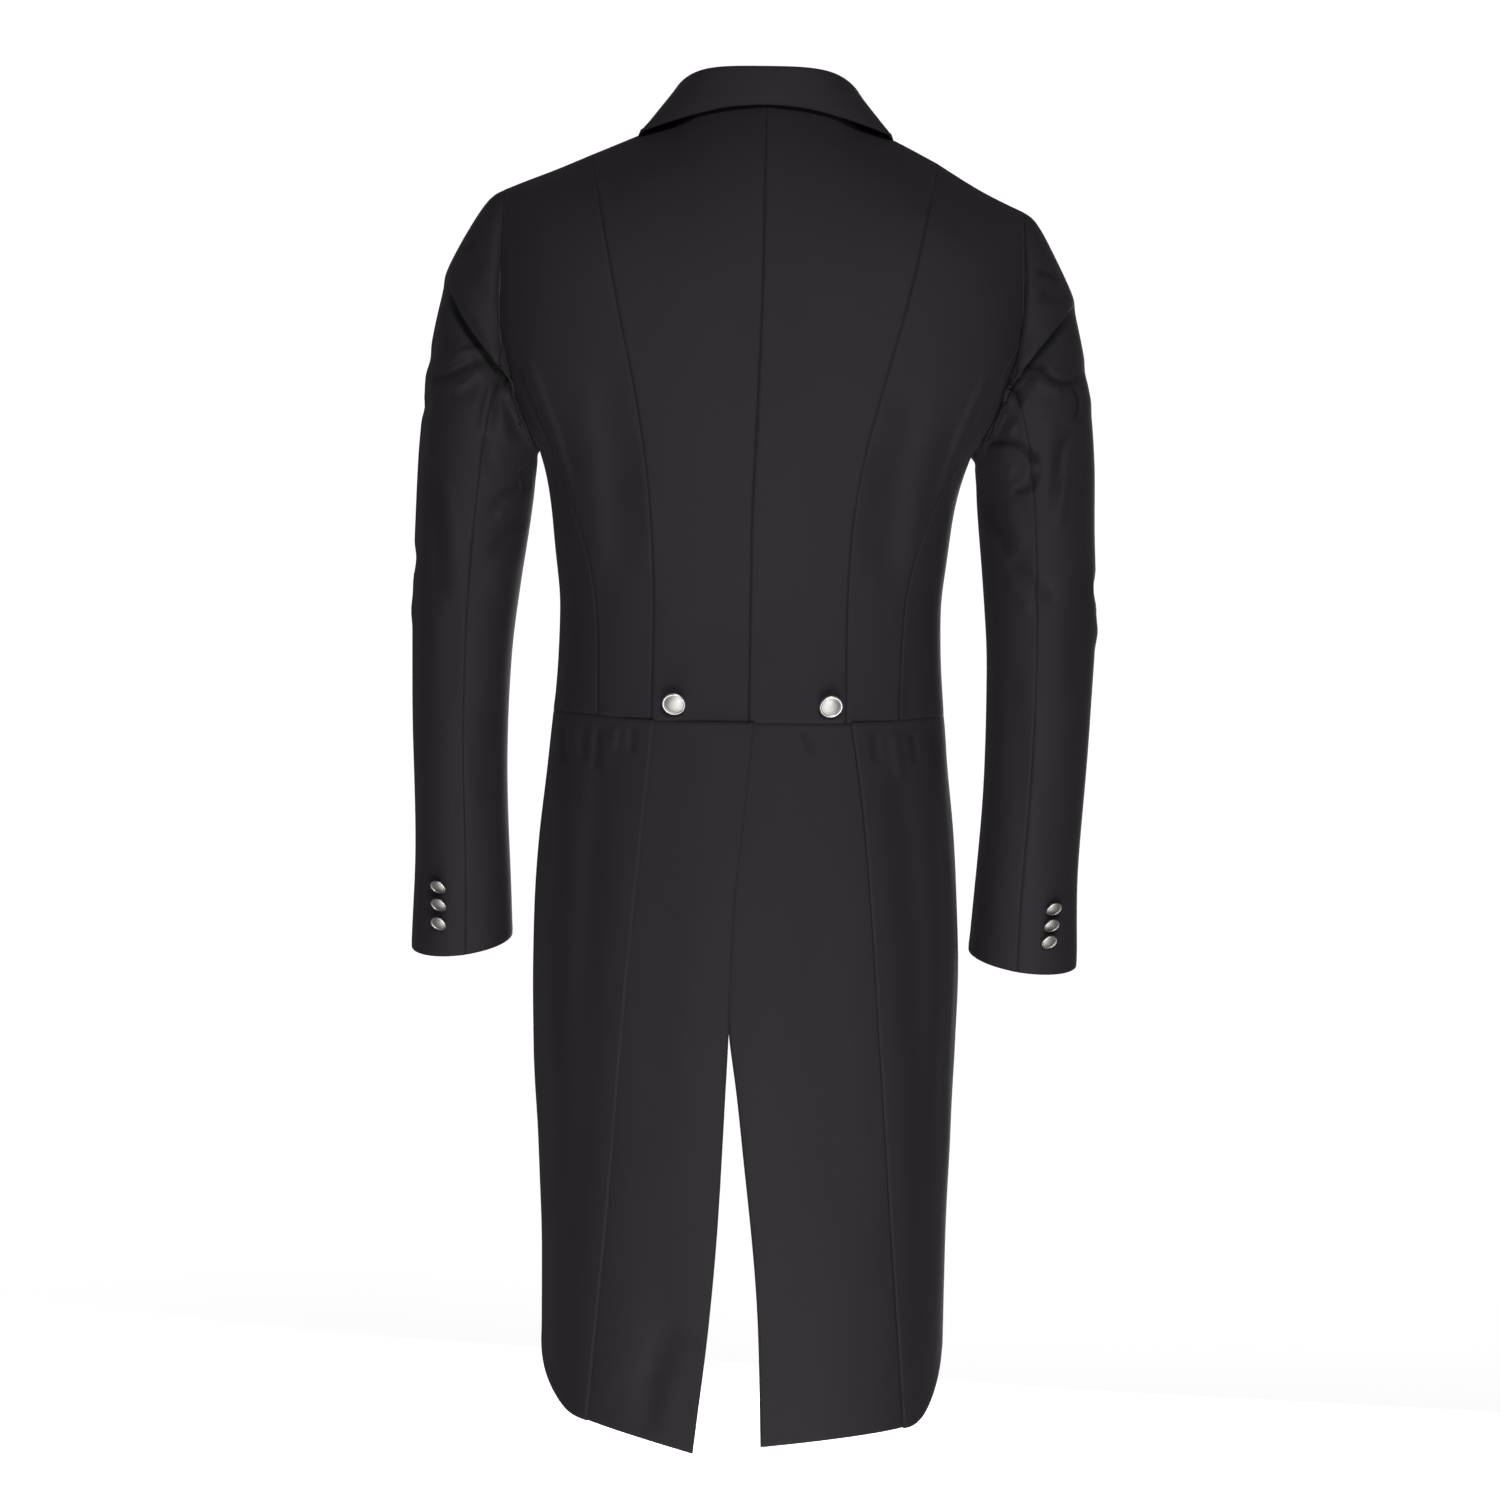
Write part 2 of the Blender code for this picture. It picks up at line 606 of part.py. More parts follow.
def keep(name, side, grid, lift=None):
    """Turns a panel's angles and heights into points, for its wall to be made later."""
    points = []
    for line in grid:
        row = []
        for degrees, z in line:
            rise = lift(degrees, z) if lift else 0.0
            row.append(lifted(side, degrees, z, rise))
        points.append(row)
    cloth_grids[name] = (points, side)


def top_edge(degrees):
    """Height of the neckline and of the shoulder seam at an angle."""
    angle = degrees if degrees < 90.0 else 180.0 - degrees
    z = NECK_BACK_Z
    for _ in range(6):
        own_x = own_x_of(angle, z)
        z = neckline("height", own_x) if own_x < NECK_POINT_X else ridge_z(own_x)
    return z


def fractions(places, heights):
    angles = [angle_of(x, z) for x, z in zip(places, heights)]
    return [(a - angles[0]) / (angles[-1] - angles[0]) for a in angles]


def centre_back(side):
    heights = [neckline("height", x) if x < NECK_POINT_X else ridge_z(x) for x in BACK_TOP]
    grid = between(
        centre_back_line(),
        long_seam_line(),
        fractions(BACK_TOP, heights),
        top_edge,
        lambda degrees: waist("height", degrees),
    )
    keep(f"back_{SIDE_NAME[side]}", side, spaced(side, grid))


def side_back(side):
    heights = [ridge_z(x) for x in SIDE_BACK_TOP]
    outer = armhole_upper(False) + side_seam_line()[1:]
    grid = between(
        long_seam_line(),
        outer,
        fractions(SIDE_BACK_TOP, heights),
        top_edge,
        lambda degrees: waist("height", degrees),
    )
    drawn = spaced(side, grid)
    for r in range(UPPER_ROWS):
        drawn[r][-1] = grid[r][-1]
    keep(f"side_back_{SIDE_NAME[side]}", side, drawn)


def side_panel(side):
    top = armhole_lower()
    first = side_seam_line()
    last = front_seam_line()
    count = UNDERARM_COLUMNS
    low = []
    for c in range(count + 1):
        degrees = mix(first[-1][0], last[-1][0], c / count)
        low.append((degrees, waist("height", degrees)))
    grid = []
    for r in range(LOWER_ROWS + 1):
        v = r / LOWER_ROWS
        line = []
        for c in range(count + 1):
            u = c / count
            place = []
            for i in (0, 1):
                edges = mix(top[c][i], low[c][i], v) + mix(first[r][i], last[r][i], u)
                corners = mix(mix(top[0][i], top[-1][i], u), mix(low[0][i], low[-1][i], u), v)
                place.append(edges - corners)
            line.append(tuple(place))
        grid.append(line)
    drawn = spaced(side, grid)
    drawn[0][1:-1] = grid[0][1:-1]
    keep(f"side_panel_{SIDE_NAME[side]}", side, drawn)


def front(side):
    outer = armhole_upper(True) + front_seam_line()[1:]
    places = list(reversed(SIDE_BACK_TOP)) + list(reversed(BACK_TOP[NECK_COLUMNS:-1]))
    heights = [ridge_z(x) for x in places]
    grid = between(
        outer,
        front_edge_line(),
        fractions(places, heights),
        top_edge,
        lambda degrees: waist("height", degrees),
    )
    drawn = spaced(side, grid, gap_last=False, gap_low=False)
    for r in range(UPPER_ROWS):
        drawn[r][0] = grid[r][0]
    for r in (UPPER_ROWS, UPPER_ROWS + 1):
        degrees, z = drawn[r][0]
        drawn[r][0] = (beside(side, degrees, z, SEAM_GAP / 2), z)

    def lift(degrees, z):
        return front_lift(own_x_of(degrees, z), z) if side == RIGHT else 0.0

    keep(f"front_{SIDE_NAME[side]}", side, drawn, lift)


# ---------------------------------------------------------------- tails


def own_distance(side, distance, z):
    """Own x of a line that is given from the middle plane."""
    return distance - side * body("lean", z)


def hem_z(side, degrees):
    """Height of the tails' lower edge at an angle."""
    hem = HEM[side]
    x = own_x_of(min(degrees, 90.0), hem.vent_z)
    line = tail_line("vent_" + SIDE_NAME[side], hem.vent_z)
    pleat = tail_line("pleat_" + SIDE_NAME[side], hem.pleat_z)
    straight = mix(hem.vent_z, hem.pleat_z, (x - line) / (pleat - line))
    turn = (degrees - hem.round_from) / (tail_line("front_edge", hem.round_z) - hem.round_from)
    if turn <= 0.0:
        return straight
    return mix(max(straight, hem.pleat_z), hem.round_z, min(turn, 1.0) ** HEM_ROUNDING)


def tail_grid(side, first_edge, last_edge, spread):
    """Angles and heights from the waist seam to the hem, between two edges."""
    grid = []
    for r in range(TAIL_ROWS + 1):
        v = r / TAIL_ROWS
        line = []
        for u in spread:
            low = hem_z(side, degrees_at_hem(side, first_edge, last_edge, u))
            z = low
            for _ in range(SOLVE_STEPS):
                degrees = mix(first_edge(z), last_edge(z), u)
                z = mix(waist("height", degrees) - SEAM_GAP / 2, low, v)
            line.append((mix(first_edge(z), last_edge(z), u), z))
        grid.append(line)
    return grid


def degrees_at_hem(side, first_edge, last_edge, u):
    z = HEM[side].pleat_z
    for _ in range(SOLVE_STEPS):
        degrees = mix(first_edge(z), last_edge(z), u)
        z = hem_z(side, degrees)
    return degrees


def pleat_angle(side, z, beyond=0.0):
    distance = tail_line("pleat_" + SIDE_NAME[side], z)
    return angle_of(own_distance(side, distance + beyond, z), z)


def back_tail(side):
    def vent(z):
        return angle_of(own_distance(side, tail_line("vent_" + SIDE_NAME[side], z), z), z)

    def lift(degrees, z):
        return lap_lift(VENT_LAP, own_x_of(degrees, z)) if side == LEFT else 0.0

    def under_pleat(z):
        return pleat_angle(side, z, PLEAT_WIDTH)

    grid = tail_grid(side, vent, under_pleat, even(0.0, 1.0, BACK_TAIL_COLUMNS))
    keep(f"back_tail_{SIDE_NAME[side]}", side, grid, lift)


def side_tail(side):
    def lift(degrees, z):
        own_x = own_x_of(min(degrees, 90.0), z)
        past = own_x - own_distance(side, tail_line("pleat_" + SIDE_NAME[side], z), z)
        across = 1.0 - smooth(abs(past - PLEAT_RIDGE.fade_from) / PLEAT_RIDGE.fade_over)
        down = 1.0 - smooth((PLEAT_RIDGE_TOP_Z - z) / PLEAT_RIDGE_LENGTH)
        return lap_lift(PLEAT_LAP, past) + PLEAT_RIDGE.lift * across * down

    def pleat_edge(z):
        return pleat_angle(side, z)

    def front_edge(z):
        return tail_line("front_edge", z)

    grid = tail_grid(side, pleat_edge, front_edge, SIDE_TAIL_SPREAD)
    keep(f"side_tail_{SIDE_NAME[side]}", side, grid, lift)


# ---------------------------------------------------------------- sleeves


def armhole_loop(side):
    """Points of the armhole: shoulder point, down the back, under, and up the front."""
    back = armhole_upper(False)
    under = armhole_lower()
    face = armhole_upper(True)
    places = back + under[1:] + list(reversed(face))[1:-1]
    return [on_body(side, degrees, z) for degrees, z in places]


def ring_angles(turned):
    """The angle of each point of a ring, 0 at its outer point and 90 at its back."""
    front_seam = mix(FRONT_SEAM_DEG[0], FRONT_SEAM_DEG[1], turned)
    top_back = even(0.0, BACK_SEAM_DEG, UPPER_ROWS)
    under = even(BACK_SEAM_DEG, front_seam, UNDERARM_COLUMNS)
    top_front = even(front_seam, 360.0, UPPER_ROWS)
    return top_back + under[1:] + top_front[1:-1]


def fold_rise(side, degrees, z):
    """How far the broad folds move a sleeve out at a place."""
    total = 0.0
    for fold in SLEEVE_FOLDS:
        if fold.side != side:
            continue
        round_by = degrees - fold.degrees
        height = fold.height - fold.drop * round_by
        up = 1.0 - smooth(abs(z - height) / fold.half_height)
        total += fold.rise * up * (1.0 - smooth(abs(round_by) / fold.reach))
    return total


def ring_point(side, ring, degrees):
    angle = math.radians(degrees)
    half_x = (ring.outer_x - ring.inner_x) / 2
    half_z = (ring.outer_z - ring.inner_z) / 2
    length = math.hypot(half_x, half_z)
    reach = ring.back if math.sin(angle) > 0 else ring.front
    bow = ring.bow * max(math.sin(angle), 0.0) ** 2
    x = (ring.outer_x + ring.inner_x) / 2 + half_x * math.cos(angle) - bow * half_z / length
    z = (ring.outer_z + ring.inner_z) / 2 + half_z * math.cos(angle) + bow * half_x / length
    y = reach * math.sin(angle)
    z -= ring.slope * y
    out = fold_rise(side, degrees, z)
    x += out * math.cos(angle)
    y += out * math.sin(angle)
    y += ring.middle
    if side == RIGHT:
        down = min(max((-0.25 - z) / 0.37, 0.0), 1.0)
        fuller = RIGHT_SLEEVE_FULLER[0 if math.cos(angle) > 0 else 1]
        x += fuller * math.cos(angle) * smooth((FULLER_TOP_Z - z) / FULLER_GROWS_OVER)
        x -= SLEEVE_SWING * down
        z -= RIGHT_SLEEVE_LONGER * down
    fade = smooth((z - UNDERARM_Z) / 0.13)
    return Vector((side * x, y, z + tilt(side * x) * fade))


def sleeve_rings(side):
    loop = armhole_loop(side)
    rings = []
    for i, ring in enumerate(SLEEVE):
        angles = ring_angles(smooth(i / FRONT_SEAM_TURNED_BY))
        share = ARMHOLE_SHARE[i] if i < len(ARMHOLE_SHARE) else 0.0
        row = []
        for j, degrees in enumerate(angles):
            off = loop[j] - ring_point(side, SLEEVE[0], ring_angles(0.0)[j])
            row.append(ring_point(side, ring, degrees) + off * share)
        rings.append(row)
    rings[0] = [
        start + (below - start).normalized() * SEAM_GAP for start, below in zip(loop, rings[1])
    ]
    return rings


def sleeve(side):
    rings = sleeve_rings(side)
    count = len(rings[0])
    back_seam = UPPER_ROWS
    front_seam = UPPER_ROWS + UNDERARM_COLUMNS
    under_columns = list(range(back_seam, front_seam + 1))
    top_columns = [i % count for i in range(front_seam, count + back_seam + 1)]
    for name, columns in (("top_sleeve", top_columns), ("under_sleeve", under_columns)):
        points = []
        for row in rings:
            line = [row[c].copy() for c in columns]
            first = (line[1] - line[0]).normalized() * SLEEVE_SEAM_GAP / 2
            last = (line[-2] - line[-1]).normalized() * SLEEVE_SEAM_GAP / 2
            line[0] += first
            line[-1] += last
            points.append(line)
        # A ring runs round the other way from a row of the body's panels.
        cloth_grids[f"{name}_{SIDE_NAME[side]}"] = (points, -side)


# ---------------------------------------------------------------- collar and lapels


def neck_place(at):
    """The neckline by distance: own x on the back, then down the front's break line."""
    if at <= NECK_POINT_X:
        z = neckline("height", at)
        return angle_of(at, z), z
    last = COLLAR[-1].neck_at
    x, z = break_point(GORGE_AT * (at - NECK_POINT_X) / (last - NECK_POINT_X))
    return 180.0 - angle_of(x, z), z


def collar_edge(side, at):
    """The fall's edge, which lies close over the body."""
    x, z = collar_table("edge_x", at), collar_table("edge_z", at)
    degrees = angle_of(x, z)
    if collar_table("front", at) > 0.5:
        degrees = 180.0 - degrees
    return lifted(side, degrees, z, collar_table("clearance", at) + WALL)


def collar_section(side, at, seam):
    """Points across the folded collar, from the neck seam over the roll to the edge."""
    lean = posed(0.0, 0.0, NECK_BACK_Z, side).x
    roll = Vector(
        (
            side * collar_table("roll_x", at) + lean,
            collar_table("roll_y", at),
            collar_table("roll_z", at),
        )
    )
    edge = collar_edge(side, at)
    out = Vector((edge.x - roll.x, edge.y - roll.y, 0.0)).normalized()
    if at == 0.0:
        out = Vector((0.0, 1.0, 0.0))
    up = Vector((0.0, 0.0, 1.0))
    seam = seam - out * WALL + up * SEAM_GAP
    radius = ROLL_RADIUS
    centre = roll - up * radius
    rise = []
    for turn in ROLL_TURNS:
        angle = math.radians(turn)
        rise.append(centre + out * radius * math.cos(angle) + up * radius * math.sin(angle))
    stand = [seam, mix(seam, rise[0], 0.5)]
    fall = [mix(rise[-1], edge, 0.5) + out * FALL_BELLY, edge]
    return stand + rise + fall


def collar_half(side):
    """Sections from the centre back to the gorge, at the corners of the pieces below."""
    end = COLLAR[-1].neck_at
    corners = even(0.0, NECK_POINT_X, NECK_COLUMNS) + even(NECK_POINT_X, end, 2)[1:]
    seams = [on_body(side, *neck_place(at)) for at in corners]
    sections = []
    for i, at in enumerate(corners):
        if i > NECK_COLUMNS:
            middle = (corners[i - 1] + at) / 2
            sections.append(collar_section(side, middle, (seams[i - 1] + seams[i]) / 2))
        sections.append(collar_section(side, at, seams[i]))
    return sections


def collar():
    sections = list(reversed(collar_half(RIGHT)[1:])) + collar_half(LEFT)
    rows = [list(row) for row in zip(*sections)]
    cloth_grids["collar"] = (rows, RIGHT)


def lapel(side):
    points = []
    for r in range(LAPEL_ROWS + 1):
        t = mix(GORGE_AT + LAPEL_STARTS_BELOW, LAPEL_ENDS[side], r / LAPEL_ROWS)
        along = (t - GORGE_AT) / (1.0 - GORGE_AT)
        x, z = break_point(t)
        width = lapel_table("width", along)
        if side == LEFT and -x + LAPEL_CLEARANCE > x:
            width -= -x + LAPEL_CLEARANCE - x
            x = -x + LAPEL_CLEARANCE
        line = []
        for c in range(LAPEL_COLUMNS + 1):
            u = c / LAPEL_COLUMNS
            own_x = x + width * u
            own_z = z + width * u * mix(-LAPEL_DROP, LAPEL_RISE_LOW, along)
            degrees = 180.0 - angle_of(own_x, own_z)
            roll = LAPEL_ROLL * (1.0 - smooth(u * 3.0))
            under = front_lift(own_x, own_z) if side == RIGHT else 0.0
            lift = WALL + SEAM_GAP + LAPEL_LIES_OFF + roll + under
            line.append(lifted(side, degrees, own_z, lift))
        points.append(list(reversed(line)))
    cloth_grids[f"lapel_{SIDE_NAME[side]}"] = (points, side)


# ---------------------------------------------------------------- walls


def grid_normals(points, side):
    """The outward direction at each point of a grid."""
    array = np.array([[tuple(p) for p in row] for row in points])
    down = np.gradient(array, axis=0)
    across = np.gradient(array, axis=1)
    normals = np.cross(across, down) * side
    lengths = np.linalg.norm(normals, axis=2, keepdims=True)
    return array, normals / np.maximum(lengths, 1e-12)


def shared_normals(grids):
    """Gives the points of neighbouring pieces at a seam one common direction."""
    entries = []
    result = {}
    for name, (points, side) in grids.items():
        array, normals = grid_normals(points, side)
        result[name] = (array, normals)
        if name.startswith(("collar", "lapel")):
            continue
        for r in range(array.shape[0]):
            for c in range(array.shape[1]):
                entries.append((name, r, c))
    tree = KDTree(len(entries))
    for i, (name, r, c) in enumerate(entries):
        tree.insert(result[name][0][r, c], i)
    tree.balance()
    own = {name: pair[1].copy() for name, pair in result.items()}
    for name, r, c in entries:
        array, normals = result[name]
        total = np.zeros(3)
        count = 0
        for _, i, _ in tree.find_range(array[r, c], NEIGHBOUR_REACH):
            other, rr, cc = entries[i]
            total += own[other][rr, cc]
            count += 1
        length = np.linalg.norm(total)
        if count > 1 and length > SHARED_WHEN_ALIKE * count:
            normals[r, c] = total / length
    return result


def material(name, colour, roughness, metallic):
    made = bpy.data.materials.new(name)
    made.use_nodes = True
    shader = made.node_tree.nodes["Principled BSDF"]
    shader.inputs["Base Color"].default_value = (*colour, 1.0)
    shader.inputs["Roughness"].default_value = roughness
    shader.inputs["Metallic"].default_value = metallic
    return made


def finished(name, shape, made_of):
    """Closes a shape's mesh into a named object."""
    bmesh.ops.recalc_face_normals(shape, faces=shape.faces)
    mesh = bpy.data.meshes.new(name)
    shape.to_mesh(mesh)
    shape.free()
    mesh.shade_smooth()
    mesh.set_sharp_from_angle(angle=math.radians(50))
    mesh.materials.append(made_of)
    made = bpy.data.objects.new(name, mesh)
    bpy.context.collection.objects.link(made)
    return made


def wall(name, array, normals, made_of):
    """A closed wall: the outer grid, the same grid moved inwards, and the rim."""
    shape = bmesh.new()
    outer = [[shape.verts.new(p) for p in row] for row in array]
    inner = [[shape.verts.new(p) for p in row] for row in array - normals * WALL]
    rows, columns = array.shape[0] - 1, array.shape[1] - 1
    for r in range(rows):
        for c in range(columns):
            for sheet in (outer, inner):
                shape.faces.new(
                    (sheet[r][c], sheet[r][c + 1], sheet[r + 1][c + 1], sheet[r + 1][c])
                )
    border = [(0, c) for c in range(columns)]
    border += [(r, columns) for r in range(rows)]
    border += [(rows, c) for c in range(columns, 0, -1)]
    border += [(r, 0) for r in range(rows, 0, -1)]
    for (r0, c0), (r1, c1) in zip(border, border[1:] + border[:1]):
        # Both pieces at a seam split a twisted rim the same way, from its higher end.
        ends = [(outer[r0][c0], inner[r0][c0]), (outer[r1][c1], inner[r1][c1])]
        ends.sort(key=lambda end: end[0].co.dot(RIM_ORDER))
        (low_out, low_in), (high_out, high_in) = ends
        shape.faces.new((low_out, high_out, high_in))
        shape.faces.new((low_out, high_in, low_in))
    return finished(name, shape, made_of)


# ---------------------------------------------------------------- buttons


def button(name, kind, foot, axis, made_of):
    """A domed button with a raised rim, on a shank that ends just above the cloth."""
    radius = kind.radius
    profile = [
        (0.0, kind.shank + kind.dome),
        (radius * 0.40, kind.shank + kind.dome * 0.93),
        (radius * 0.70, kind.shank + kind.dome * 0.74),
        (radius * 0.86, kind.shank + kind.dome * 0.52),
        (radius * 0.91, kind.shank + kind.dome * 0.52 + kind.rim * 0.5),
        (radius, kind.shank + kind.dome * 0.40),
        (radius, kind.shank + kind.dome * 0.12),
        (radius * 0.93, kind.shank),
        (kind.stem, kind.shank),
        (kind.stem, 0.0),
        (0.0, 0.0),
    ]
    shape = bmesh.new()
    turn = axis.to_track_quat("Z", "Y")
    rings = []
    for r, height in profile:
        count = kind.segments if r else 1
        ring = []
        for i in range(count):
            angle = 2 * math.pi * i / kind.segments
            spot = Vector((r * math.cos(angle), r * math.sin(angle), height))
            ring.append(shape.verts.new(foot + turn @ spot))
        rings.append(ring)
    for upper, lower in zip(rings, rings[1:]):
        for i in range(kind.segments):
            j = (i + 1) % kind.segments
            corners = [upper[i % len(upper)], lower[i % len(lower)]]
            corners += [lower[j % len(lower)], upper[j % len(upper)]]
            unique = list(dict.fromkeys(corners))
            shape.faces.new(unique)
    return finished(name, shape, made_of)


def drooped(normal, degrees):
    """The button's own axis, when its weight turns it down from the cloth's normal."""
    sideways = normal.cross(Vector((0.0, 0.0, 1.0))).normalized()
    down = sideways.cross(normal).normalized() * -1.0
    if down.z > 0:
        down = -down
    angle = math.radians(degrees)
    return (normal * math.cos(angle) + down * math.sin(angle)).normalized()


def clear_foot(point, normal, axis, kind):
    """Where the shank ends, so that its tilted edge stays just clear of the cloth."""
    lean = math.sqrt(max(0.0, 1.0 - normal.dot(axis) ** 2))
    return point + normal * (kind.stem * lean + SEAM_GAP)


def seat(name, x, z, behind):
    """The place on a piece of cloth at an x and a height, and its outward direction."""
    points, facing = cloth_grids[name]
    array, _ = grid_normals(points, facing)
    best = None
    for r in range(array.shape[0] - 1):
        for c in range(array.shape[1] - 1):
            middle = (array[r, c] + array[r, c + 1] + array[r + 1, c + 1] + array[r + 1, c]) / 4
            if behind and middle[1] < SLEEVE[-1].middle:
                continue
            off = math.hypot(middle[0] - x, middle[2] - z)
            if best is None or off < best[0]:
                best = (off, r, c)
    _, r, c = best
    across, down = 0.5, 0.5
    for _ in range(SOLVE_STEPS):
        top, low = mix(array[r, c], array[r, c + 1], across), mix(
            array[r + 1, c], array[r + 1, c + 1], across
        )
        down = (z - top[2]) / (low[2] - top[2])
        left, right = mix(array[r, c], array[r + 1, c], down), mix(
            array[r, c + 1], array[r + 1, c + 1], down
        )
        across = (x - left[0]) / (right[0] - left[0])
    normal = np.cross(right - left, low - top) * facing
    return Vector(mix(left, right, across)), Vector(normal).normalized()


def waist_buttons(made_of):
    for side in (LEFT, RIGHT):
        name = SIDE_NAME[side]
        point, normal = seat(f"back_{name}", side * WAIST_BUTTON_X, WAIST_BUTTON_Z, False)
        axis = drooped(normal, WAIST_BUTTON_DROOP)
        foot = clear_foot(point, normal, axis, WAIST_BUTTON)
        button(f"back_button_{name}", WAIST_BUTTON, foot, axis, made_of)


def cuff_buttons(made_of):
    for side in (LEFT, RIGHT):
        name = SIDE_NAME[side]
        for i, (x, z) in enumerate(CUFF_BUTTONS[side]):
            point, normal = seat(f"top_sleeve_{name}", side * x, z, True)
            axis = drooped(normal, CUFF_BUTTON_DROOP)
            foot = clear_foot(point, normal, axis, CUFF_BUTTON)
            button(f"cuff_button_{name}_{i + 1}", CUFF_BUTTON, foot, axis, made_of)


def front_buttons(made_of):
    for i, z in enumerate(FRONT_BUTTON_Z):
        point, normal = seat("front_right", FRONT_BUTTON_X, z, False)
        foot = clear_foot(point, normal, normal, FRONT_BUTTON)
        button(f"front_button_{i + 1}", FRONT_BUTTON, foot, normal, made_of)


# ---------------------------------------------------------------- the whole coat


def clear_scene():
    for item in list(bpy.data.objects):
        bpy.data.objects.remove(item)


def main():
    clear_scene()
    cloth = material("black_tailcoat_cloth", CLOTH_COLOUR, 0.75, 0.0)
    metal = material("antique_silver_metal", METAL_COLOUR, 0.35, 1.0)
    for side in (LEFT, RIGHT):
        centre_back(side)
        side_back(side)
        side_panel(side)
        front(side)
        lapel(side)
        sleeve(side)
        back_tail(side)
        side_tail(side)
    collar()
    for name, (array, normals) in shared_normals(cloth_grids).items():
        wall(name, array, normals, cloth)
    waist_buttons(metal)
    cuff_buttons(metal)
    front_buttons(metal)


main()
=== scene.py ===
# %% [markdown]
# # A black dressage tailcoat
# This coat is cut from nineteen pieces of fine black twill: a fitted body with long curved
# back seams, two-piece sleeves, a folded collar and split tails. Nobody wears it here, but
# it keeps the form that a wearer's shoulders give it. The solids that come in with the
# frame hold every piece at its real size. This script dresses them: it lays finer cloth
# over each wall, presses the creases in, and turns the metal buttons.

import math
from collections import namedtuple
from functools import partial

import bpy
import numpy as np
from mathutils import Matrix, Vector, noise
from mathutils.kdtree import KDTree


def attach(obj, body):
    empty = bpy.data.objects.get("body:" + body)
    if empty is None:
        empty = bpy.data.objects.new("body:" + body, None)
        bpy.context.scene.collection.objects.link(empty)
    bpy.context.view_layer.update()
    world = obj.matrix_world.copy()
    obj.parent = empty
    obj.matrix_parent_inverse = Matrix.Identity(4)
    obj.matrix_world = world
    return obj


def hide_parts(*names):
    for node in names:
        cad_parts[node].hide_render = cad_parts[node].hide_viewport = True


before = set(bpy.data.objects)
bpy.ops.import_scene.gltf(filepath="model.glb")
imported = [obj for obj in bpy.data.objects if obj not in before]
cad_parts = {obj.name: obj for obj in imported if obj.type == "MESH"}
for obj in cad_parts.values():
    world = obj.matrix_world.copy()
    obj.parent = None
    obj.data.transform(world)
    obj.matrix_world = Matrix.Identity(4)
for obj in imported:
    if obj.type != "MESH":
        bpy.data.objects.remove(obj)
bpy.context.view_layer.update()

# %% [markdown]
# The photo was taken from behind, level with the tails' upper part, with a long lens that
# keeps both shoulders the same size. The coat hangs about one degree out of plumb in it,
# so the camera is rolled by that much instead of tilting the coat.

# %% Camera
CAMERA_DISTANCE = 4.2
CAMERA_HEIGHT = -0.461
CAMERA_ASIDE = 0.0014
CAMERA_ROLL = math.radians(0.955)
SENSOR_MM = 36.0
LENS_MM = 120.0

look = Matrix(
    (
        (-math.cos(CAMERA_ROLL), math.sin(CAMERA_ROLL), 0.0),
        (0.0, 0.0, 1.0),
        (math.sin(CAMERA_ROLL), math.cos(CAMERA_ROLL), 0.0),
    )
)
bpy.ops.object.camera_add(
    location=(CAMERA_ASIDE, CAMERA_DISTANCE, CAMERA_HEIGHT), rotation=look.to_euler()
)
camera = bpy.context.object
camera.name = "photo_camera"
camera.data.sensor_width = SENSOR_MM
camera.data.lens = LENS_MM
bpy.context.scene.camera = camera
print("camera looks along", tuple(round(v, 3) for v in -look.col[2]))

# %% [markdown]
# Finishes are built from nodes. Writing each Math node by hand is slow to read, so one
# small class wraps a socket and lets plain Python sums make the nodes. A second class
# holds one material and has a short method for each kind of node that comes up often.


# %% A socket that understands sums, and a finish
class Signal:
    def __init__(self, finish, socket):
        self.finish = finish
        self.socket = socket

    def sum_with(self, operation, first, second):
        return self.finish.node(
            "ShaderNodeMath", {"operation": operation}, {0: first, 1: second}
        )

    def __add__(self, other):
        return self.sum_with("ADD", self, other)

    def __radd__(self, other):
        return self.sum_with("ADD", other, self)

    def __sub__(self, other):
        return self.sum_with("SUBTRACT", self, other)

    def __rsub__(self, other):
        return self.sum_with("SUBTRACT", other, self)

    def __mul__(self, other):
        return self.sum_with("MULTIPLY", self, other)


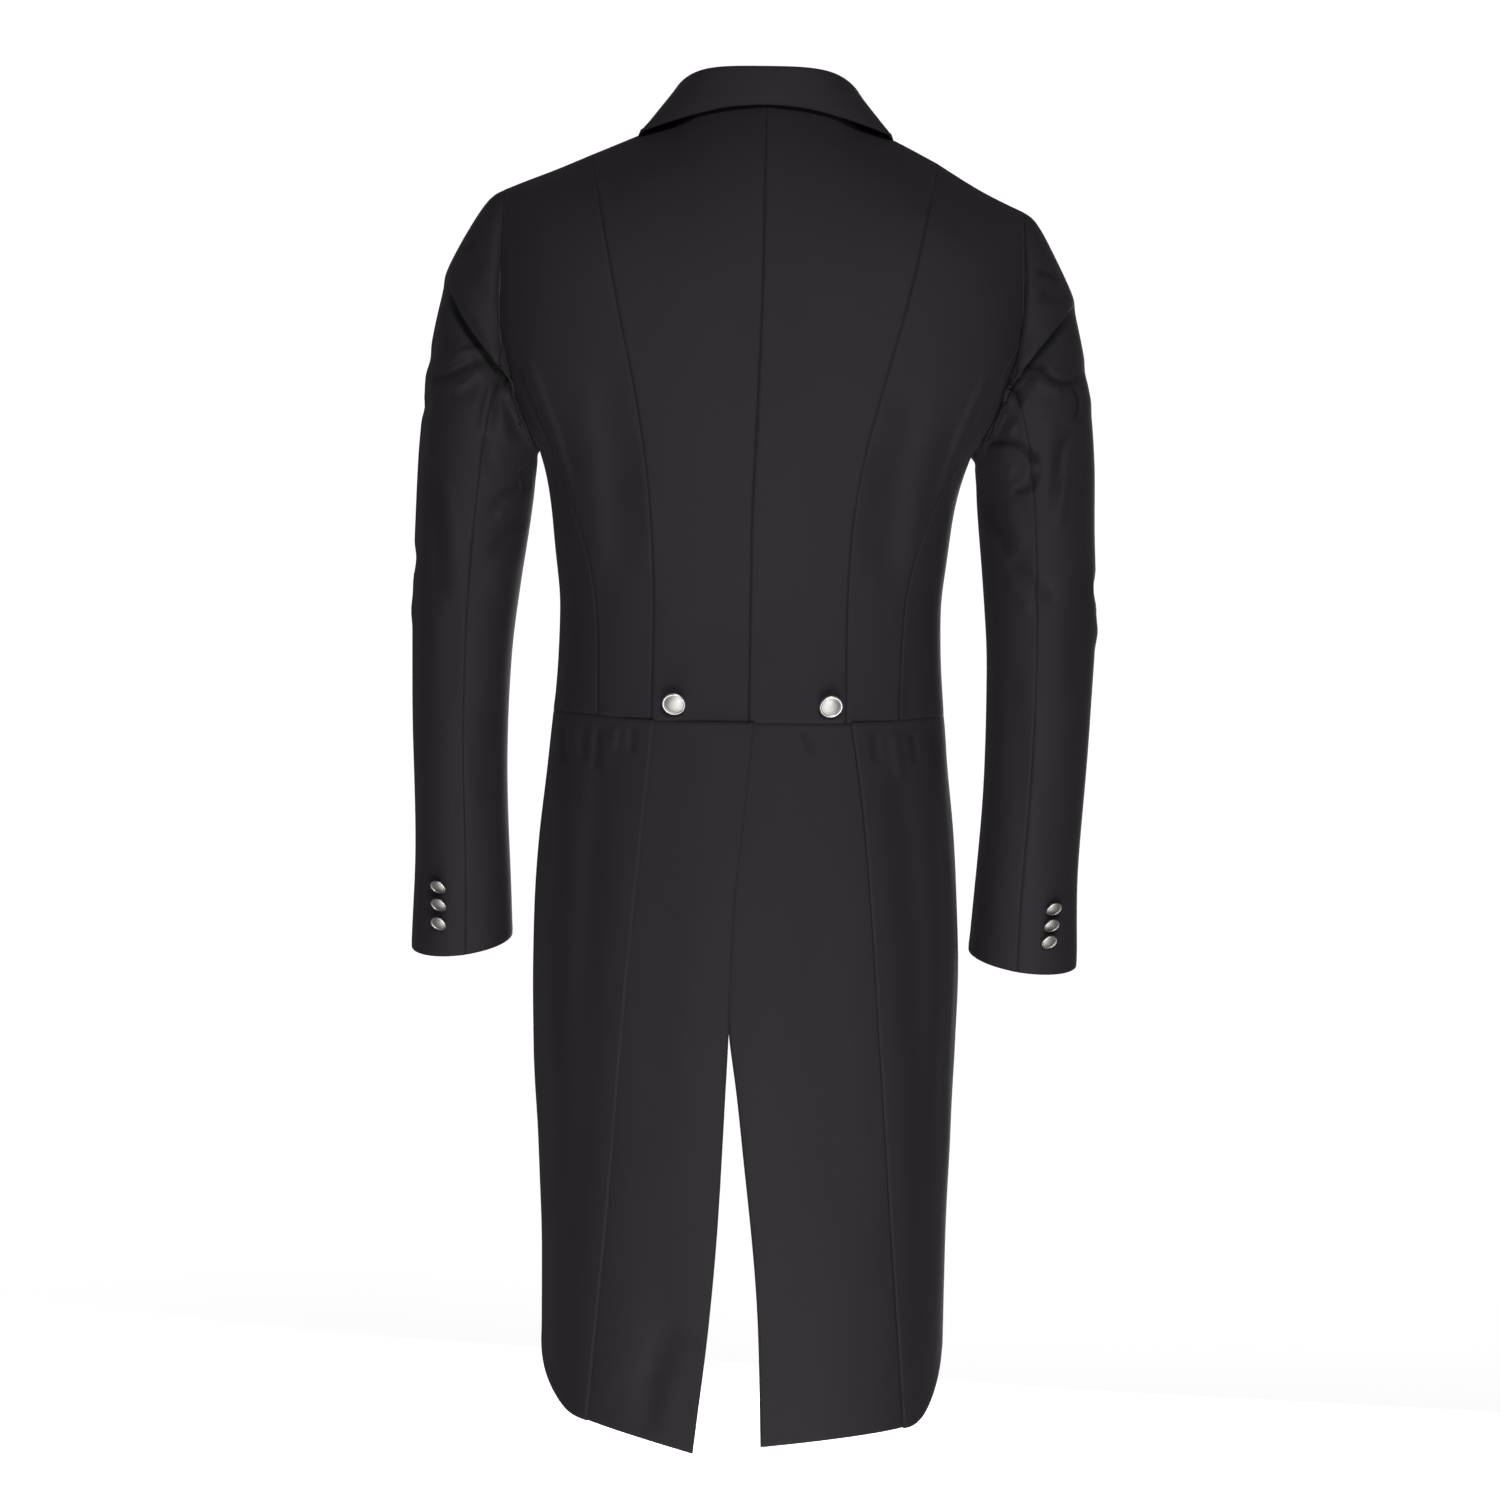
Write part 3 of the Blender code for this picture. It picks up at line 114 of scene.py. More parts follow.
class Finish:
    def __init__(self, name, **constants):
        self.material = bpy.data.materials.new(name)
        self.material.use_nodes = True
        self.nodes = self.material.node_tree.nodes
        self.links = self.material.node_tree.links
        self.shader = self.nodes["Principled BSDF"]
        for socket, value in constants.items():
            self.shader.inputs[socket.replace("_", " ")].default_value = value

    def node(self, kind, settings, values, output=0):
        made = self.nodes.new(kind)
        for key, value in settings.items():
            setattr(made, key, value)
        for key, value in values.items():
            self.plug(made.inputs[key], value)
        return Signal(self, made.outputs[output])

    def plug(self, socket, value):
        if isinstance(value, Signal):
            self.links.new(value.socket, socket)
        else:
            socket.default_value = value

    def shade(self, socket, value):
        self.plug(self.shader.inputs[socket], value)

    def between(self, low, high, value):
        """0 below low, 1 above high, eased."""
        return self.node(
            "ShaderNodeMapRange",
            {"interpolation_type": "SMOOTHSTEP", "clamp": True},
            {"Value": value, "From Min": low, "From Max": high},
        )

    def mix(self, share, dark, light):
        """Goes from a dark colour to a light one."""
        return self.node(
            "ShaderNodeMix", {"data_type": "RGBA"}, {"Factor": share, 6: dark, 7: light}, 2
        )

    def cloudy(self, place, scale, detail):
        return self.node(
            "ShaderNodeTexNoise", {}, {"Vector": place, "Scale": scale, "Detail": detail}
        )

    def stored(self, name):
        """A number that is kept for each point of the mesh."""
        return self.node("ShaderNodeAttribute", {"attribute_name": name}, {}, "Fac")


# %% [markdown]
# The cloth is a smooth technical twill, almost black with a trace of violet. Seen close
# up, fine ribs climb across it, and from a step away its yarns show as faint upright
# streaks. A pattern that follows the cloth needs the cloth's own flat cut, so every piece
# is unwrapped in metres and the weave is drawn on that. Along each edge the cloth is
# pressed over a seam, which rounds it off, and a painted shade darkens its colour a little
# there. Hardly any light gets into a seam or under a fold, so a painted shade turns the
# colour almost black there.

# %% Black twill
TWILL_PITCH = 0.0009
RIB_HEIGHT = 0.00003
STREAK_HEIGHT = 0.00006
PRESSED_DEPTH = 0.00045
PRESSED_WIDTH = 0.0022
TWILL_DARK = (0.0122, 0.0094, 0.0126, 1.0)
TWILL_LIGHT = (0.0230, 0.0182, 0.0238, 1.0)
# The colour of the painted shade in seams and under folds.
UNLIT = (0.0024, 0.0019, 0.0025, 1.0)
# How far the painted seam shade reaches from a sewn edge.
SEAM_SHADE_WIDTH = 0.0009
RIB_SLANT = 0.55
# How many streaks lie on a metre, across the grain and along it.
FINE_STREAKS = (900.0, 22.0)
BROAD_STREAKS = (34.0, 5.0)
# How much each of these lightens or darkens the cloth.
FINE_TONE = 0.34
BROAD_TONE = 0.36
RIB_TONE = 0.22
LEAST_TONE = 0.04
# How much painted shade darkens the cloth along every edge.
PRESSED_EDGE_SHADE = 0.12


def stretched(streaks):
    """A place on the flat cut, counted in streaks across and along the grain."""
    return twill.node("ShaderNodeCombineXYZ", {}, {0: across * streaks[0], 1: grain * streaks[1]})


twill = Finish(
    "black_twill",
    Specular_IOR_Level=0.26,
    Sheen_Weight=0.07,
    Sheen_Roughness=0.40,
    Sheen_Tint=(0.92, 0.80, 1.0, 1.0),
)
cut = twill.node("ShaderNodeUVMap", {"uv_map": "cut"}, {})
cut_parts = twill.node("ShaderNodeSeparateXYZ", {}, {0: cut})
across = Signal(twill, cut_parts.socket.node.outputs[0])
grain = Signal(twill, cut_parts.socket.node.outputs[1])
climb = (across * RIB_SLANT + grain) * (2 * math.pi / TWILL_PITCH)
ribs = twill.node("ShaderNodeMath", {"operation": "SINE"}, {0: climb}) * 0.5 + 0.5
fine_streaks = twill.cloudy(stretched(FINE_STREAKS), 1.0, 2.0)
broad_streaks = twill.cloudy(stretched(BROAD_STREAKS), 1.0, 3.0)
# Near every edge the cloth is pressed round, which the relief shows, and its colour gets a
# painted shade there.
pressed_and_shaded = 1.0 - twill.between(0.0, PRESSED_WIDTH, twill.stored("from_edge"))
tone = fine_streaks * FINE_TONE + broad_streaks * BROAD_TONE + ribs * RIB_TONE
tone = tone + LEAST_TONE - pressed_and_shaded * PRESSED_EDGE_SHADE
# Painted shade: the colour turns almost black along sewn edges and where the creases stored a
# painted shade.
lit = twill.between(0.0, SEAM_SHADE_WIDTH, twill.stored("from_seam")) * (1.0 - twill.stored("painted_shade"))
twill.shade("Base Color", twill.mix(lit, UNLIT, twill.mix(tone, TWILL_DARK, TWILL_LIGHT)))
twill.shade("Roughness", 0.66 + broad_streaks * 0.12 + fine_streaks * 0.08)
relief = ribs * RIB_HEIGHT + fine_streaks * STREAK_HEIGHT - pressed_and_shaded * PRESSED_DEPTH
twill.shade(
    "Normal",
    twill.node("ShaderNodeBump", {}, {"Strength": 1.0, "Distance": 1.0, "Height": relief}),
)
print("black twill uses", len(twill.nodes), "nodes")

# %% [markdown]
# The buttons are cast metal with an antique silver finish: pale grey with darker clouds,
# and rubbed bright on the raised rim. Each point of a button keeps a number that tells how
# far the finish is rubbed off there, and the material reads it.

# %% Antique silver
CAST_GRAIN = 900.0
CAST_DEPTH = 0.00008
PATINA_CLOUDS = 160.0
SILVER_DARK = (0.38, 0.37, 0.36, 1.0)
SILVER_LIGHT = (0.66, 0.65, 0.64, 1.0)

silver = Finish("antique_silver", Metallic=1.0)
spot = silver.node("ShaderNodeTexCoord", {}, {}, "Object")
cast_grain = silver.cloudy(spot, CAST_GRAIN, 4.0)
patina = silver.cloudy(spot, PATINA_CLOUDS, 3.0)
rubbed = silver.stored("rubbed")
bright = silver.between(0.2, 1.1, rubbed * 0.6 + patina * 0.6)
silver.shade("Base Color", silver.mix(bright, SILVER_DARK, SILVER_LIGHT))
silver.shade("Roughness", 0.44 - rubbed * 0.12 + cast_grain * 0.12)
silver.shade(
    "Normal",
    silver.node(
        "ShaderNodeBump", {}, {"Strength": 0.5, "Distance": CAST_DEPTH, "Height": cast_grain}
    ),
)
print("antique silver uses", len(silver.nodes), "nodes")

# %% [markdown]
# Each solid is a closed wall of triangles. The cloth starts from a copy of it: the loose
# triangles are merged, the rim and the inner side are taken away, and the triangles are
# joined into four-sided faces. What is left is one open sheet on the wall's outer side.
# Every point of the inner side lies exactly one wall behind a point of the outer side,
# so such pairs tell rim, outer and inner side apart.

# %% Open sheets from the solids
WALL = 0.0016
PAIR_SLACK = 0.00001
MERGE_WITHIN = 0.00005


def only(piece):
    """Selects one object and makes it the active one."""
    bpy.ops.object.select_all(action="DESELECT")
    piece.select_set(True)
    bpy.context.view_layer.objects.active = piece


def in_edit_mode(piece, *steps):
    """Runs steps on a piece in edit mode."""
    only(piece)
    bpy.ops.object.mode_set(mode="EDIT")
    for step in steps:
        step()
    bpy.ops.object.mode_set(mode="OBJECT")


def pick_all():
    bpy.ops.mesh.select_all(action="SELECT")


def pick_none():
    bpy.ops.mesh.select_all(action="DESELECT")


def merge_within(distance):
    return lambda: bpy.ops.mesh.remove_doubles(threshold=distance)


def merged_copy(node, name):
    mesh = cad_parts[node].data.copy()
    mesh.name = name
    mesh.materials.clear()
    piece = bpy.data.objects.new(name, mesh)
    bpy.context.collection.objects.link(piece)
    only(piece)
    if mesh.has_custom_normals:
        bpy.ops.mesh.customdata_custom_splitnormals_clear()
    in_edit_mode(piece, pick_all, merge_within(MERGE_WITHIN))
    return piece


def wall_pairs(mesh):
    """For each point, the points that lie one wall away from it."""
    tree = KDTree(len(mesh.vertices))
    for point in mesh.vertices:
        tree.insert(point.co, point.index)
    tree.balance()
    pairs = []
    for point in mesh.vertices:
        near = tree.find_range(point.co, WALL + PAIR_SLACK)
        pairs.append({i for _, i, gap in near if abs(gap - WALL) < PAIR_SLACK})
    return pairs


def sides_of(mesh, pairs):
    """The faces of each side of a wall, without the rim."""
    faces_at = [[] for _ in mesh.vertices]
    rim = set()
    for face in mesh.polygons:
        corners = set(face.vertices)
        if any(pairs[i] & corners for i in corners):
            rim.add(face.index)
            continue
        for i in corners:
            faces_at[i].append(face.index)
    left = set(range(len(mesh.polygons))) - rim
    sides = []
    while left:
        side, queue = set(), [left.pop()]
        while queue:
            face = queue.pop()
            side.add(face)
            for i in mesh.polygons[face].vertices:
                for other in faces_at[i]:
                    if other in left:
                        left.remove(other)
                        queue.append(other)
        sides.append(side)
    return sorted(sides, key=len)[-2:]


def outwardness(mesh, side, pairs, how_far):
    """Whether a side lies further out than the points it is paired with."""
    points = {i for face in side for i in mesh.polygons[face].vertices}
    total = 0.0
    for i in points:
        for j in pairs[i]:
            total += how_far(mesh.vertices[i].co) - how_far(mesh.vertices[j].co)
    return total


def open_sheet(node, name, how_far):
    piece = merged_copy(node, name)
    mesh = piece.data
    pairs = wall_pairs(mesh)
    sides = sides_of(mesh, pairs)
    kept = max(sides, key=lambda side: outwardness(mesh, side, pairs, how_far))
    in_edit_mode(piece, pick_none)
    bpy.context.tool_settings.mesh_select_mode = (False, False, True)
    for face in mesh.polygons:
        face.select = face.index not in kept
    in_edit_mode(
        piece,
        lambda: bpy.ops.mesh.delete(type="FACE"),
        pick_all,
        lambda: bpy.ops.mesh.tris_convert_to_quads(
            face_threshold=math.pi, shape_threshold=math.pi
        ),
    )
    return piece


# %% [markdown]
# What counts as further out depends on the piece. On the body, the lapels and the tails it
# is the distance from an upright line through the middle of the coat, on a sleeve the
# distance from the line of the arm, and on the folded collar simply the height.

# %% Cut all the sheets
SIDES = {"left": 1, "right": -1}
ARM_TOP = Vector((0.200, -0.004, -0.110))
ARM_LOW = Vector((0.2415, -0.038, -0.624))


def from_middle(point):
    return math.hypot(point.x, point.y)


def arm_axis(side, z):
    """The middle of a sleeve at a height."""
    share = (z - ARM_TOP.z) / (ARM_LOW.z - ARM_TOP.z)
    middle = ARM_TOP.lerp(ARM_LOW, share)
    return Vector((side * middle.x, middle.y, z))


def from_arm(side):
    return lambda point: (point - arm_axis(side, point.z)).length


sheets = {}
for word, side in SIDES.items():
    for node in ("back", "side_back", "side_panel", "front", "lapel", "back_tail", "side_tail"):
        name = f"{node}_{word}"
        sheets[name] = open_sheet(name, f"{name}_cloth", from_middle)
    for node in ("top_sleeve", "under_sleeve"):
        name = f"{node}_{word}"
        sheets[name] = open_sheet(name, f"{name}_cloth", from_arm(side))
sheets["collar"] = open_sheet("collar", "collar_cloth", lambda point: point.z)

for name, piece in sheets.items():
    corners = [len(face.vertices) for face in piece.data.polygons]
    print(name, len(corners), "faces, of them three-sided", corners.count(3))

# %% [markdown]
# A border is kept as three rows of numbers: each border point, the one before it and the
# one after it. Walking round a piece in this way shows where its outline turns a corner.
# Subdividing would round the corners off, so they are made sharp. Where the corner of
# one piece meets the middle of a neighbour's edge, the neighbour's point is made sharp as
# well, or a hole would open between the two.

# %% Find the corners that neighbours share
CORNER_TURN = math.radians(28)
CORNER_REACH = 0.0015


def numbers(collection, field, width=1, kind=np.float64):
    """One field of a mesh's points, edges, faces or corners as an array."""
    found = np.empty(len(collection) * width, dtype=kind)
    collection.foreach_get(field, found)
    return found.reshape(-1, width) if width > 1 else found


def put_points(mesh, points):
    mesh.vertices.foreach_set("co", points.astype(np.float32).ravel())
    mesh.update()


def border_ring(mesh):
    """The border's points, and for each the one before and the one after."""
    edge_of_corner = numbers(mesh.loops, "edge_index", kind=np.int32)
    point_of_corner = numbers(mesh.loops, "vertex_index", kind=np.int32)
    starts = numbers(mesh.polygons, "loop_start", kind=np.int32)
    totals = numbers(mesh.polygons, "loop_total", kind=np.int32)
    following = np.arange(len(mesh.loops)) + 1
    following[starts + totals - 1] = starts
    single = np.bincount(edge_of_corner, minlength=len(mesh.edges))[edge_of_corner] == 1
    here = point_of_corner[single]
    after_of = dict(zip(here.tolist(), point_of_corner[following[single]].tolist()))
    before_of = {after: point for point, after in after_of.items()}
    after = np.array([after_of[i] for i in here.tolist()])
    before = np.array([before_of[i] for i in here.tolist()])
    return here, before, after


def corner_points(mesh):
    points = numbers(mesh.vertices, "co", 3)
    here, before, after = border_ring(mesh)
    way_in = points[here] - points[before]
    way_out = points[after] - points[here]
    way_in /= np.linalg.norm(way_in, axis=1, keepdims=True)
    way_out /= np.linalg.norm(way_out, axis=1, keepdims=True)
    return here[(way_in * way_out).sum(axis=1) < math.cos(CORNER_TURN)]


corner_places = [
    piece.data.vertices[int(i)].co.copy()
    for piece in sheets.values()
    for i in corner_points(piece.data)
]
corner_tree = KDTree(len(corner_places))
for i, place in enumerate(corner_places):
    corner_tree.insert(place, i)
corner_tree.balance()
print("corners found:", len(corner_places))


def sharpen_corners(piece):
    sharp = piece.data.attributes.new("crease_vert", "FLOAT", "POINT")
    for i in border_ring(piece.data)[0].tolist():
        if corner_tree.find(piece.data.vertices[i].co)[2] < CORNER_REACH:
            sharp.data[i].value = 1.0


# %% [markdown]
# A tailor draws the pieces flat on the cloth with the grain upright. Unwrapping a sheet
# gives that drawing. The unwrapped map has no real size and may lie askew, so it is scaled
# until its area is the cloth's own, and turned until its upright direction is the height
# on the coat. The collar is cut along its length, so its upright runs across the coat.


# %% Lay each sheet out flat
UP = Vector((0.0, 0.0, 1.0))
ACROSS_THE_COAT = Vector((-1.0, 0.0, 0.0))


def flat_cut(piece, upright):
    mesh = piece.data
    mesh.uv_layers.new(name="cut")
    in_edit_mode(
        piece, pick_all, lambda: bpy.ops.uv.unwrap(method="ANGLE_BASED", margin=0.0)
    )
    layer = mesh.uv_layers["cut"]
    spots = np.array([tuple(loop.uv) for loop in layer.data])
    points = [mesh.vertices[loop.vertex_index].co for loop in mesh.loops]
    height = np.array([point.dot(upright) for point in points])
    centred = spots - spots.mean(axis=0)
    slope = np.linalg.lstsq(centred, height - height.mean(), rcond=None)[0]
    slope /= np.linalg.norm(slope)
    turned = np.stack([centred @ (slope[1], -slope[0]), centred @ slope], axis=1)
    drawn = 0.0
    for face in mesh.polygons:
        x, y = turned[list(face.loop_indices)].T
        drawn += abs(np.dot(x, np.roll(y, 1)) - np.dot(y, np.roll(x, 1))) / 2
    real = sum(face.area for face in mesh.polygons)
    turned *= math.sqrt(real / drawn)
    layer.data.foreach_set("uv", turned.astype(np.float32).ravel())
    width, length = turned.max(axis=0) - turned.min(axis=0)
    print(f"{piece.name}: {width:.3f} x {length:.3f} m, area {real:.4f} m2")
    return float(width), float(length), float(real)


# %% [markdown]
# The creases are set one by one, like a presser's map of the coat, in millimetres. Each
# one follows a path on the coat, seen from the back, the front or a side. A fold rises or
# sinks on both sides of its path and fades at the ends. A flap is a fold whose edge hangs
# over: seen from behind, the cloth on the left-hand side of its path stands out and drops
# off sharply at the path, as the sleeve's cap does where it sags over the arm.

# %% What a fold and a flap are
Fold = namedtuple("Fold", "seen path half_width rise")
Flap = namedtuple("Flap", "seen path rise drop upper_reach lower_reach")
on_back = partial(Fold, "back")
on_front = partial(Fold, "front")
on_left = partial(Fold, "left")
on_right = partial(Fold, "right")
sagging_cap = partial(Flap, "back", rise=2.4, drop=9.0, upper_reach=15, lower_reach=20)
VIEWS = {
    "back": (0, np.array((0.0, 1.0, 0.0))),
    "front": (0, np.array((0.0, -1.0, 0.0))),
    "left": (1, np.array((1.0, 0.0, 0.0))),
    "right": (1, np.array((-1.0, 0.0, 0.0))),
}
MM = 0.001

# %% [markdown]
# The left sleeve: the cap sags over the arm in one long sharp edge that runs into the
# armhole. Two small ridges climb to it from outside, and below it a fan of short creases
# leaves the armhole. A pocket forms at the inner edge, and soft bends mark the elbow.

# %% Creases of the left sleeve
LEFT_SLEEVE = (
    sagging_cap(((265, -66), (245, -106), (222, -137), (200, -166), (184, -216))),
    on_back(((236, -36), (242, -37), (250, -33)), 4, 2.4),
    on_back(((236, -45), (243, -47), (252, -45)), 4, -1.4),
    on_back(((232, -50), (238, -66), (242, -84)), 6, -0.9),
    on_back(((276, -149), (262, -144), (243, -134), (222, -133)), 3.4, 2.0),
    on_back(((276, -158), (258, -155), (238, -145), (224, -139)), 3.6, -2.4),
    on_back(((268, -164), (248, -163), (232, -152), (219, -146)), 4, 1.5),
    on_back(((262, -172), (246, -172), (230, -164)), 6, -1.5),
    on_back(((272, -118), (262, -126), (250, -131)), 8, -1.8),
    on_back(((206, -155), (213, -160), (216, -172), (216, -200)), 3.6, -2.6),
    on_back(((217, -158), (222, -170), (226, -186), (228, -206)), 3.2, 1.8),
    on_back(((203, -158), (206, -164), (205, -176)), 3, 1.8),
    on_back(((207, -172), (208, -192), (205, -214)), 6, 1.6),
    on_back(((222, -200), (224, -214), (222, -236)), 6, -1.8),
    on_right(((56, -164), (53, -178), (50, -194), (45, -214)), 7, -2.6),
    on_right(((40, -228), (32, -238), (26, -250)), 7, -3.5),
    on_back(((186, -243), (200, -246), (212, -256), (222, -272)), 5, -2.2),
    on_back(((190, -256), (204, -262), (216, -274)), 6, 2.2),
    on_back(((190, -271), (202, -278), (213, -292), (220, -308)), 7, -2.2),
    on_back(((200, -300), (210, -316), (216, -340)), 9, 1.6),
    on_back(((274, -230), (266, -262), (261, -300), (260, -350)), 9, -2.6),
    on_back(((262, -232), (256, -270), (252, -320)), 7, 1.4),
    on_back(((246, -330), (250, -380), (252, -440)), 10, -1.2),
    on_back(((216, -420), (221, -460), (222, -520)), 10, -1.8),
    on_back(((232, -480), (234, -530), (238, -580)), 9, 1.2),
)

# %% [markdown]
# The right sleeve hangs a little differently: small puckers lie on the cap, the hollow
# under the flap is closed by one round trough, and a round dent sits above the elbow.

# %% Creases of the right sleeve
RIGHT_SLEEVE = (
    sagging_cap(((-176, -224), (-198, -174), (-216, -146), (-240, -115), (-269, -77))),
    on_back(((-222, -14), (-229, -17), (-236, -24)), 3, -2.2),
    on_back(((-224, -24), (-230, -27), (-235, -32)), 2.6, 1.8),
    on_back(((-226, -55), (-236, -52), (-245, -57), (-252, -60)), 2.8, 2.2),
    on_back(((-226, -62), (-238, -61), (-250, -67)), 3, -2.0),
    on_back(((-248, -72), (-257, -77), (-266, -80)), 2.8, 2.2),
    on_back(((-232, -78), (-244, -82), (-254, -86)), 5, -1.4),
    on_back(((-216, -138), (-232, -139), (-246, -150), (-260, -152), (-272, -144)), 3.4, -3.0),
    on_back(((-222, -147), (-240, -156), (-256, -160)), 4.5, 1.8),
    on_back(((-258, -152), (-265, -162), (-266, -174), (-262, -184)), 2.6, -2.4),
    on_back(((-264, -186), (-254, -204), (-250, -226), (-247, -262)), 4.5, -2.2),
    on_back(((-246, -180), (-242, -205), (-240, -240)), 6, 1.4),
    on_back(((-256, -226), (-254, -250), (-250, -276)), 4.5, 2.0),
    on_back(((-207, -149), (-214, -160), (-218, -174)), 3, -2.6),
    on_back(((-202, -158), (-208, -170), (-211, -182)), 3.4, 1.8),
    on_left(((56, -162), (53, -176), (50, -192), (45, -212)), 7, -2.6),
    on_back(((-181, -206), (-196, -202), (-214, -203), (-228, -213), (-231, -224)), 3.6, -3.6),
    on_back(((-231, -222), (-226, -238), (-210, -244)), 4.2, -2.8),
    on_back(((-190, -219), (-204, -222), (-216, -228)), 7, 1.8),
    on_back(((-186, -196), (-200, -192), (-216, -194)), 4.5, 1.6),
    on_back(((-180, -230), (-190, -250), (-202, -276), (-214, -300)), 6, -3.4),
    on_back(((-204, -250), (-214, -272), (-224, -292)), 8, 1.8),
    on_back(((-208, -298), (-222, -308), (-238, -322), (-246, -340)), 6, -2.6),
    on_back(((-206, -316), (-220, -328), (-232, -344)), 6, 1.8),
    on_back(((-276, -300), (-270, -350), (-266, -420)), 9, -1.8),
    on_back(((-212, -380), (-220, -430), (-222, -500)), 10, -1.8),
    on_back(((-238, -460), (-240, -520), (-242, -580)), 9, 1.2),
)

# %% [markdown]
# The body is pressed smooth and fits closely. Its folds are wide and low: the cloth rolls
# up beside the long seams, and a sharper ridge runs down from each armhole next to the
# side seam.

# %% Creases of the body
BODY = (
    on_back(((128, -140), (114, -220), (109, -330)), 13, -1.8),
    on_back(((-130, -150), (-112, -240), (-108, -340)), 14, -2.2),
    on_back(((152, -170), (138, -230), (124, -330)), 11, 1.4),
    on_back(((-152, -170), (-136, -240), (-124, -330)), 11, 1.6),
    on_back(((197, -128), (182, -165), (165, -210), (149, -268)), 4.5, 2.4),
    on_back(((-197, -136), (-180, -172), (-163, -215), (-147, -268)), 4.5, 2.4),
    on_back(((176, -214), (168, -240), (156, -290)), 6, -1.2),
    on_back(((-174, -214), (-164, -240), (-154, -290)), 6, -1.2),
    on_back(((-112, 8), (-150, -18), (-196, -44)), 10, -1.1),
    on_back(((60, -350), (20, -372), (-40, -366)), 14, -0.8),
    on_back(((130, -400), (128, -418), (124, -434)), 5, -0.8),
    on_back(((-128, -396), (-126, -416), (-122, -434)), 6, -1.0),
    on_front(((12, -206), (60, -190), (110, -200)), 9, -1.2),
    on_front(((-12, -206), (-62, -196), (-112, -190)), 10, -1.3),
    on_front(((10, -296), (60, -288), (120, -300)), 10, -1.5),
    on_front(((-10, -296), (-66, -304), (-122, -292)), 10, -1.4),
    on_front(((170, -150), (140, -220), (120, -300)), 12, -1.8),
    on_front(((-172, -156), (-142, -220), (-124, -290)), 13, -2.0),
)

# %% [markdown]
# The tails hang almost flat. Small uneven puckers hold the ease just under the waist
# seam, the side skirts flute softly, and the end of the left tail bends a little where
# it has lain folded.

# %% Creases of the tails
TAILS = (
    on_back(((46, -926), (62, -948), (74, -980), (80, -1034)), 11, -1.5),
    on_back(((78, -968), (92, -984), (104, -1004)), 10, -0.8),
    on_back(((62, -970), (60, -990), (64, -1030)), 9, 0.8),
    on_back(((40, -560), (50, -700), (60, -860)), 20, 1.2),
    on_back(((-50, -520), (-58, -680), (-70, -880)), 22, -1.2),
    on_back(((120, -452), (128, -560), (134, -700)), 10, -1.6),
    on_back(((146, -470), (152, -640), (154, -860)), 11, 2.0),
    on_back(((-118, -452), (-128, -570), (-136, -720)), 10, -1.8),
    on_back(((-146, -460), (-156, -640), (-156, -880)), 10, 2.0),
    on_back(((157, -441), (156, -456), (156, -478)), 3.4, -1.6),
    on_back(((147, -441), (148, -452), (148, -468)), 3.4, 1.2),
    on_back(((137, -441), (138, -455), (139, -476)), 3.6, -1.2),
    on_back(((126, -441), (127, -458), (128, -486)), 4, -1.6),
    on_back(((113, -442), (114, -452), (115, -466)), 3.4, 1.2),
    on_back(((98, -442), (98, -452), (99, -468)), 3.4, -1.2),
    on_back(((-41, -442), (-46, -452), (-50, -466)), 3.6, -1.2),
    on_back(((-100, -442), (-101, -454), (-103, -474)), 4, -1.1),
    on_back(((-118, -442), (-120, -460), (-124, -488)), 4.4, 1.4),
    on_back(((-132, -442), (-134, -456), (-137, -474)), 4, -1.4),
    on_back(((-148, -442), (-151, -458), (-154, -482)), 4, -1.2),
    on_left(((40, -460), (46, -640), (50, -860)), 14, -2.0),
    on_left(((2, -470), (6, -620), (12, -800)), 13, 1.8),
    on_right(((42, -470), (48, -650), (52, -880)), 14, -2.0),
    on_right(((4, -460), (4, -620), (10, -780)), 13, 1.8),
)

# %% [markdown]
# The sides and the front of the sleeves aren't in the photo. A real sleeve creases there
# much as it does at the back, so similar folds follow, at other places and depths.

# %% Creases on the hidden sides of the sleeves
HIDDEN_LEFT_SLEEVE = (
    on_left(((52, -148), (20, -134), (-30, -150)), 8, -1.2),
    on_left(((46, -164), (14, -152), (-20, -164)), 8, 0.8),
    on_left(((40, -186), (10, -178), (-28, -192)), 7, -1.5),
    on_left(((-40, -290), (-12, -310), (30, -300)), 10, -2.2),
    on_left(((-46, -330), (-20, -348), (18, -346)), 10, 1.6),
    on_left(((-44, -372), (-30, -420), (-28, -500)), 10, -1.6),
    on_front(((196, -190), (222, -176), (256, -180)), 6, -2.6),
    on_front(((198, -222), (224, -232), (262, -222)), 6, 1.8),
    on_front(((204, -286), (226, -300), (264, -292)), 7, -3.2),
    on_front(((206, -316), (230, -328), (262, -322)), 6, 2.2),
    on_front(((208, -350), (232, -364), (258, -350)), 8, -2.0),
    on_front(((214, -110), (226, -140), (232, -170)), 8, -1.6),
)
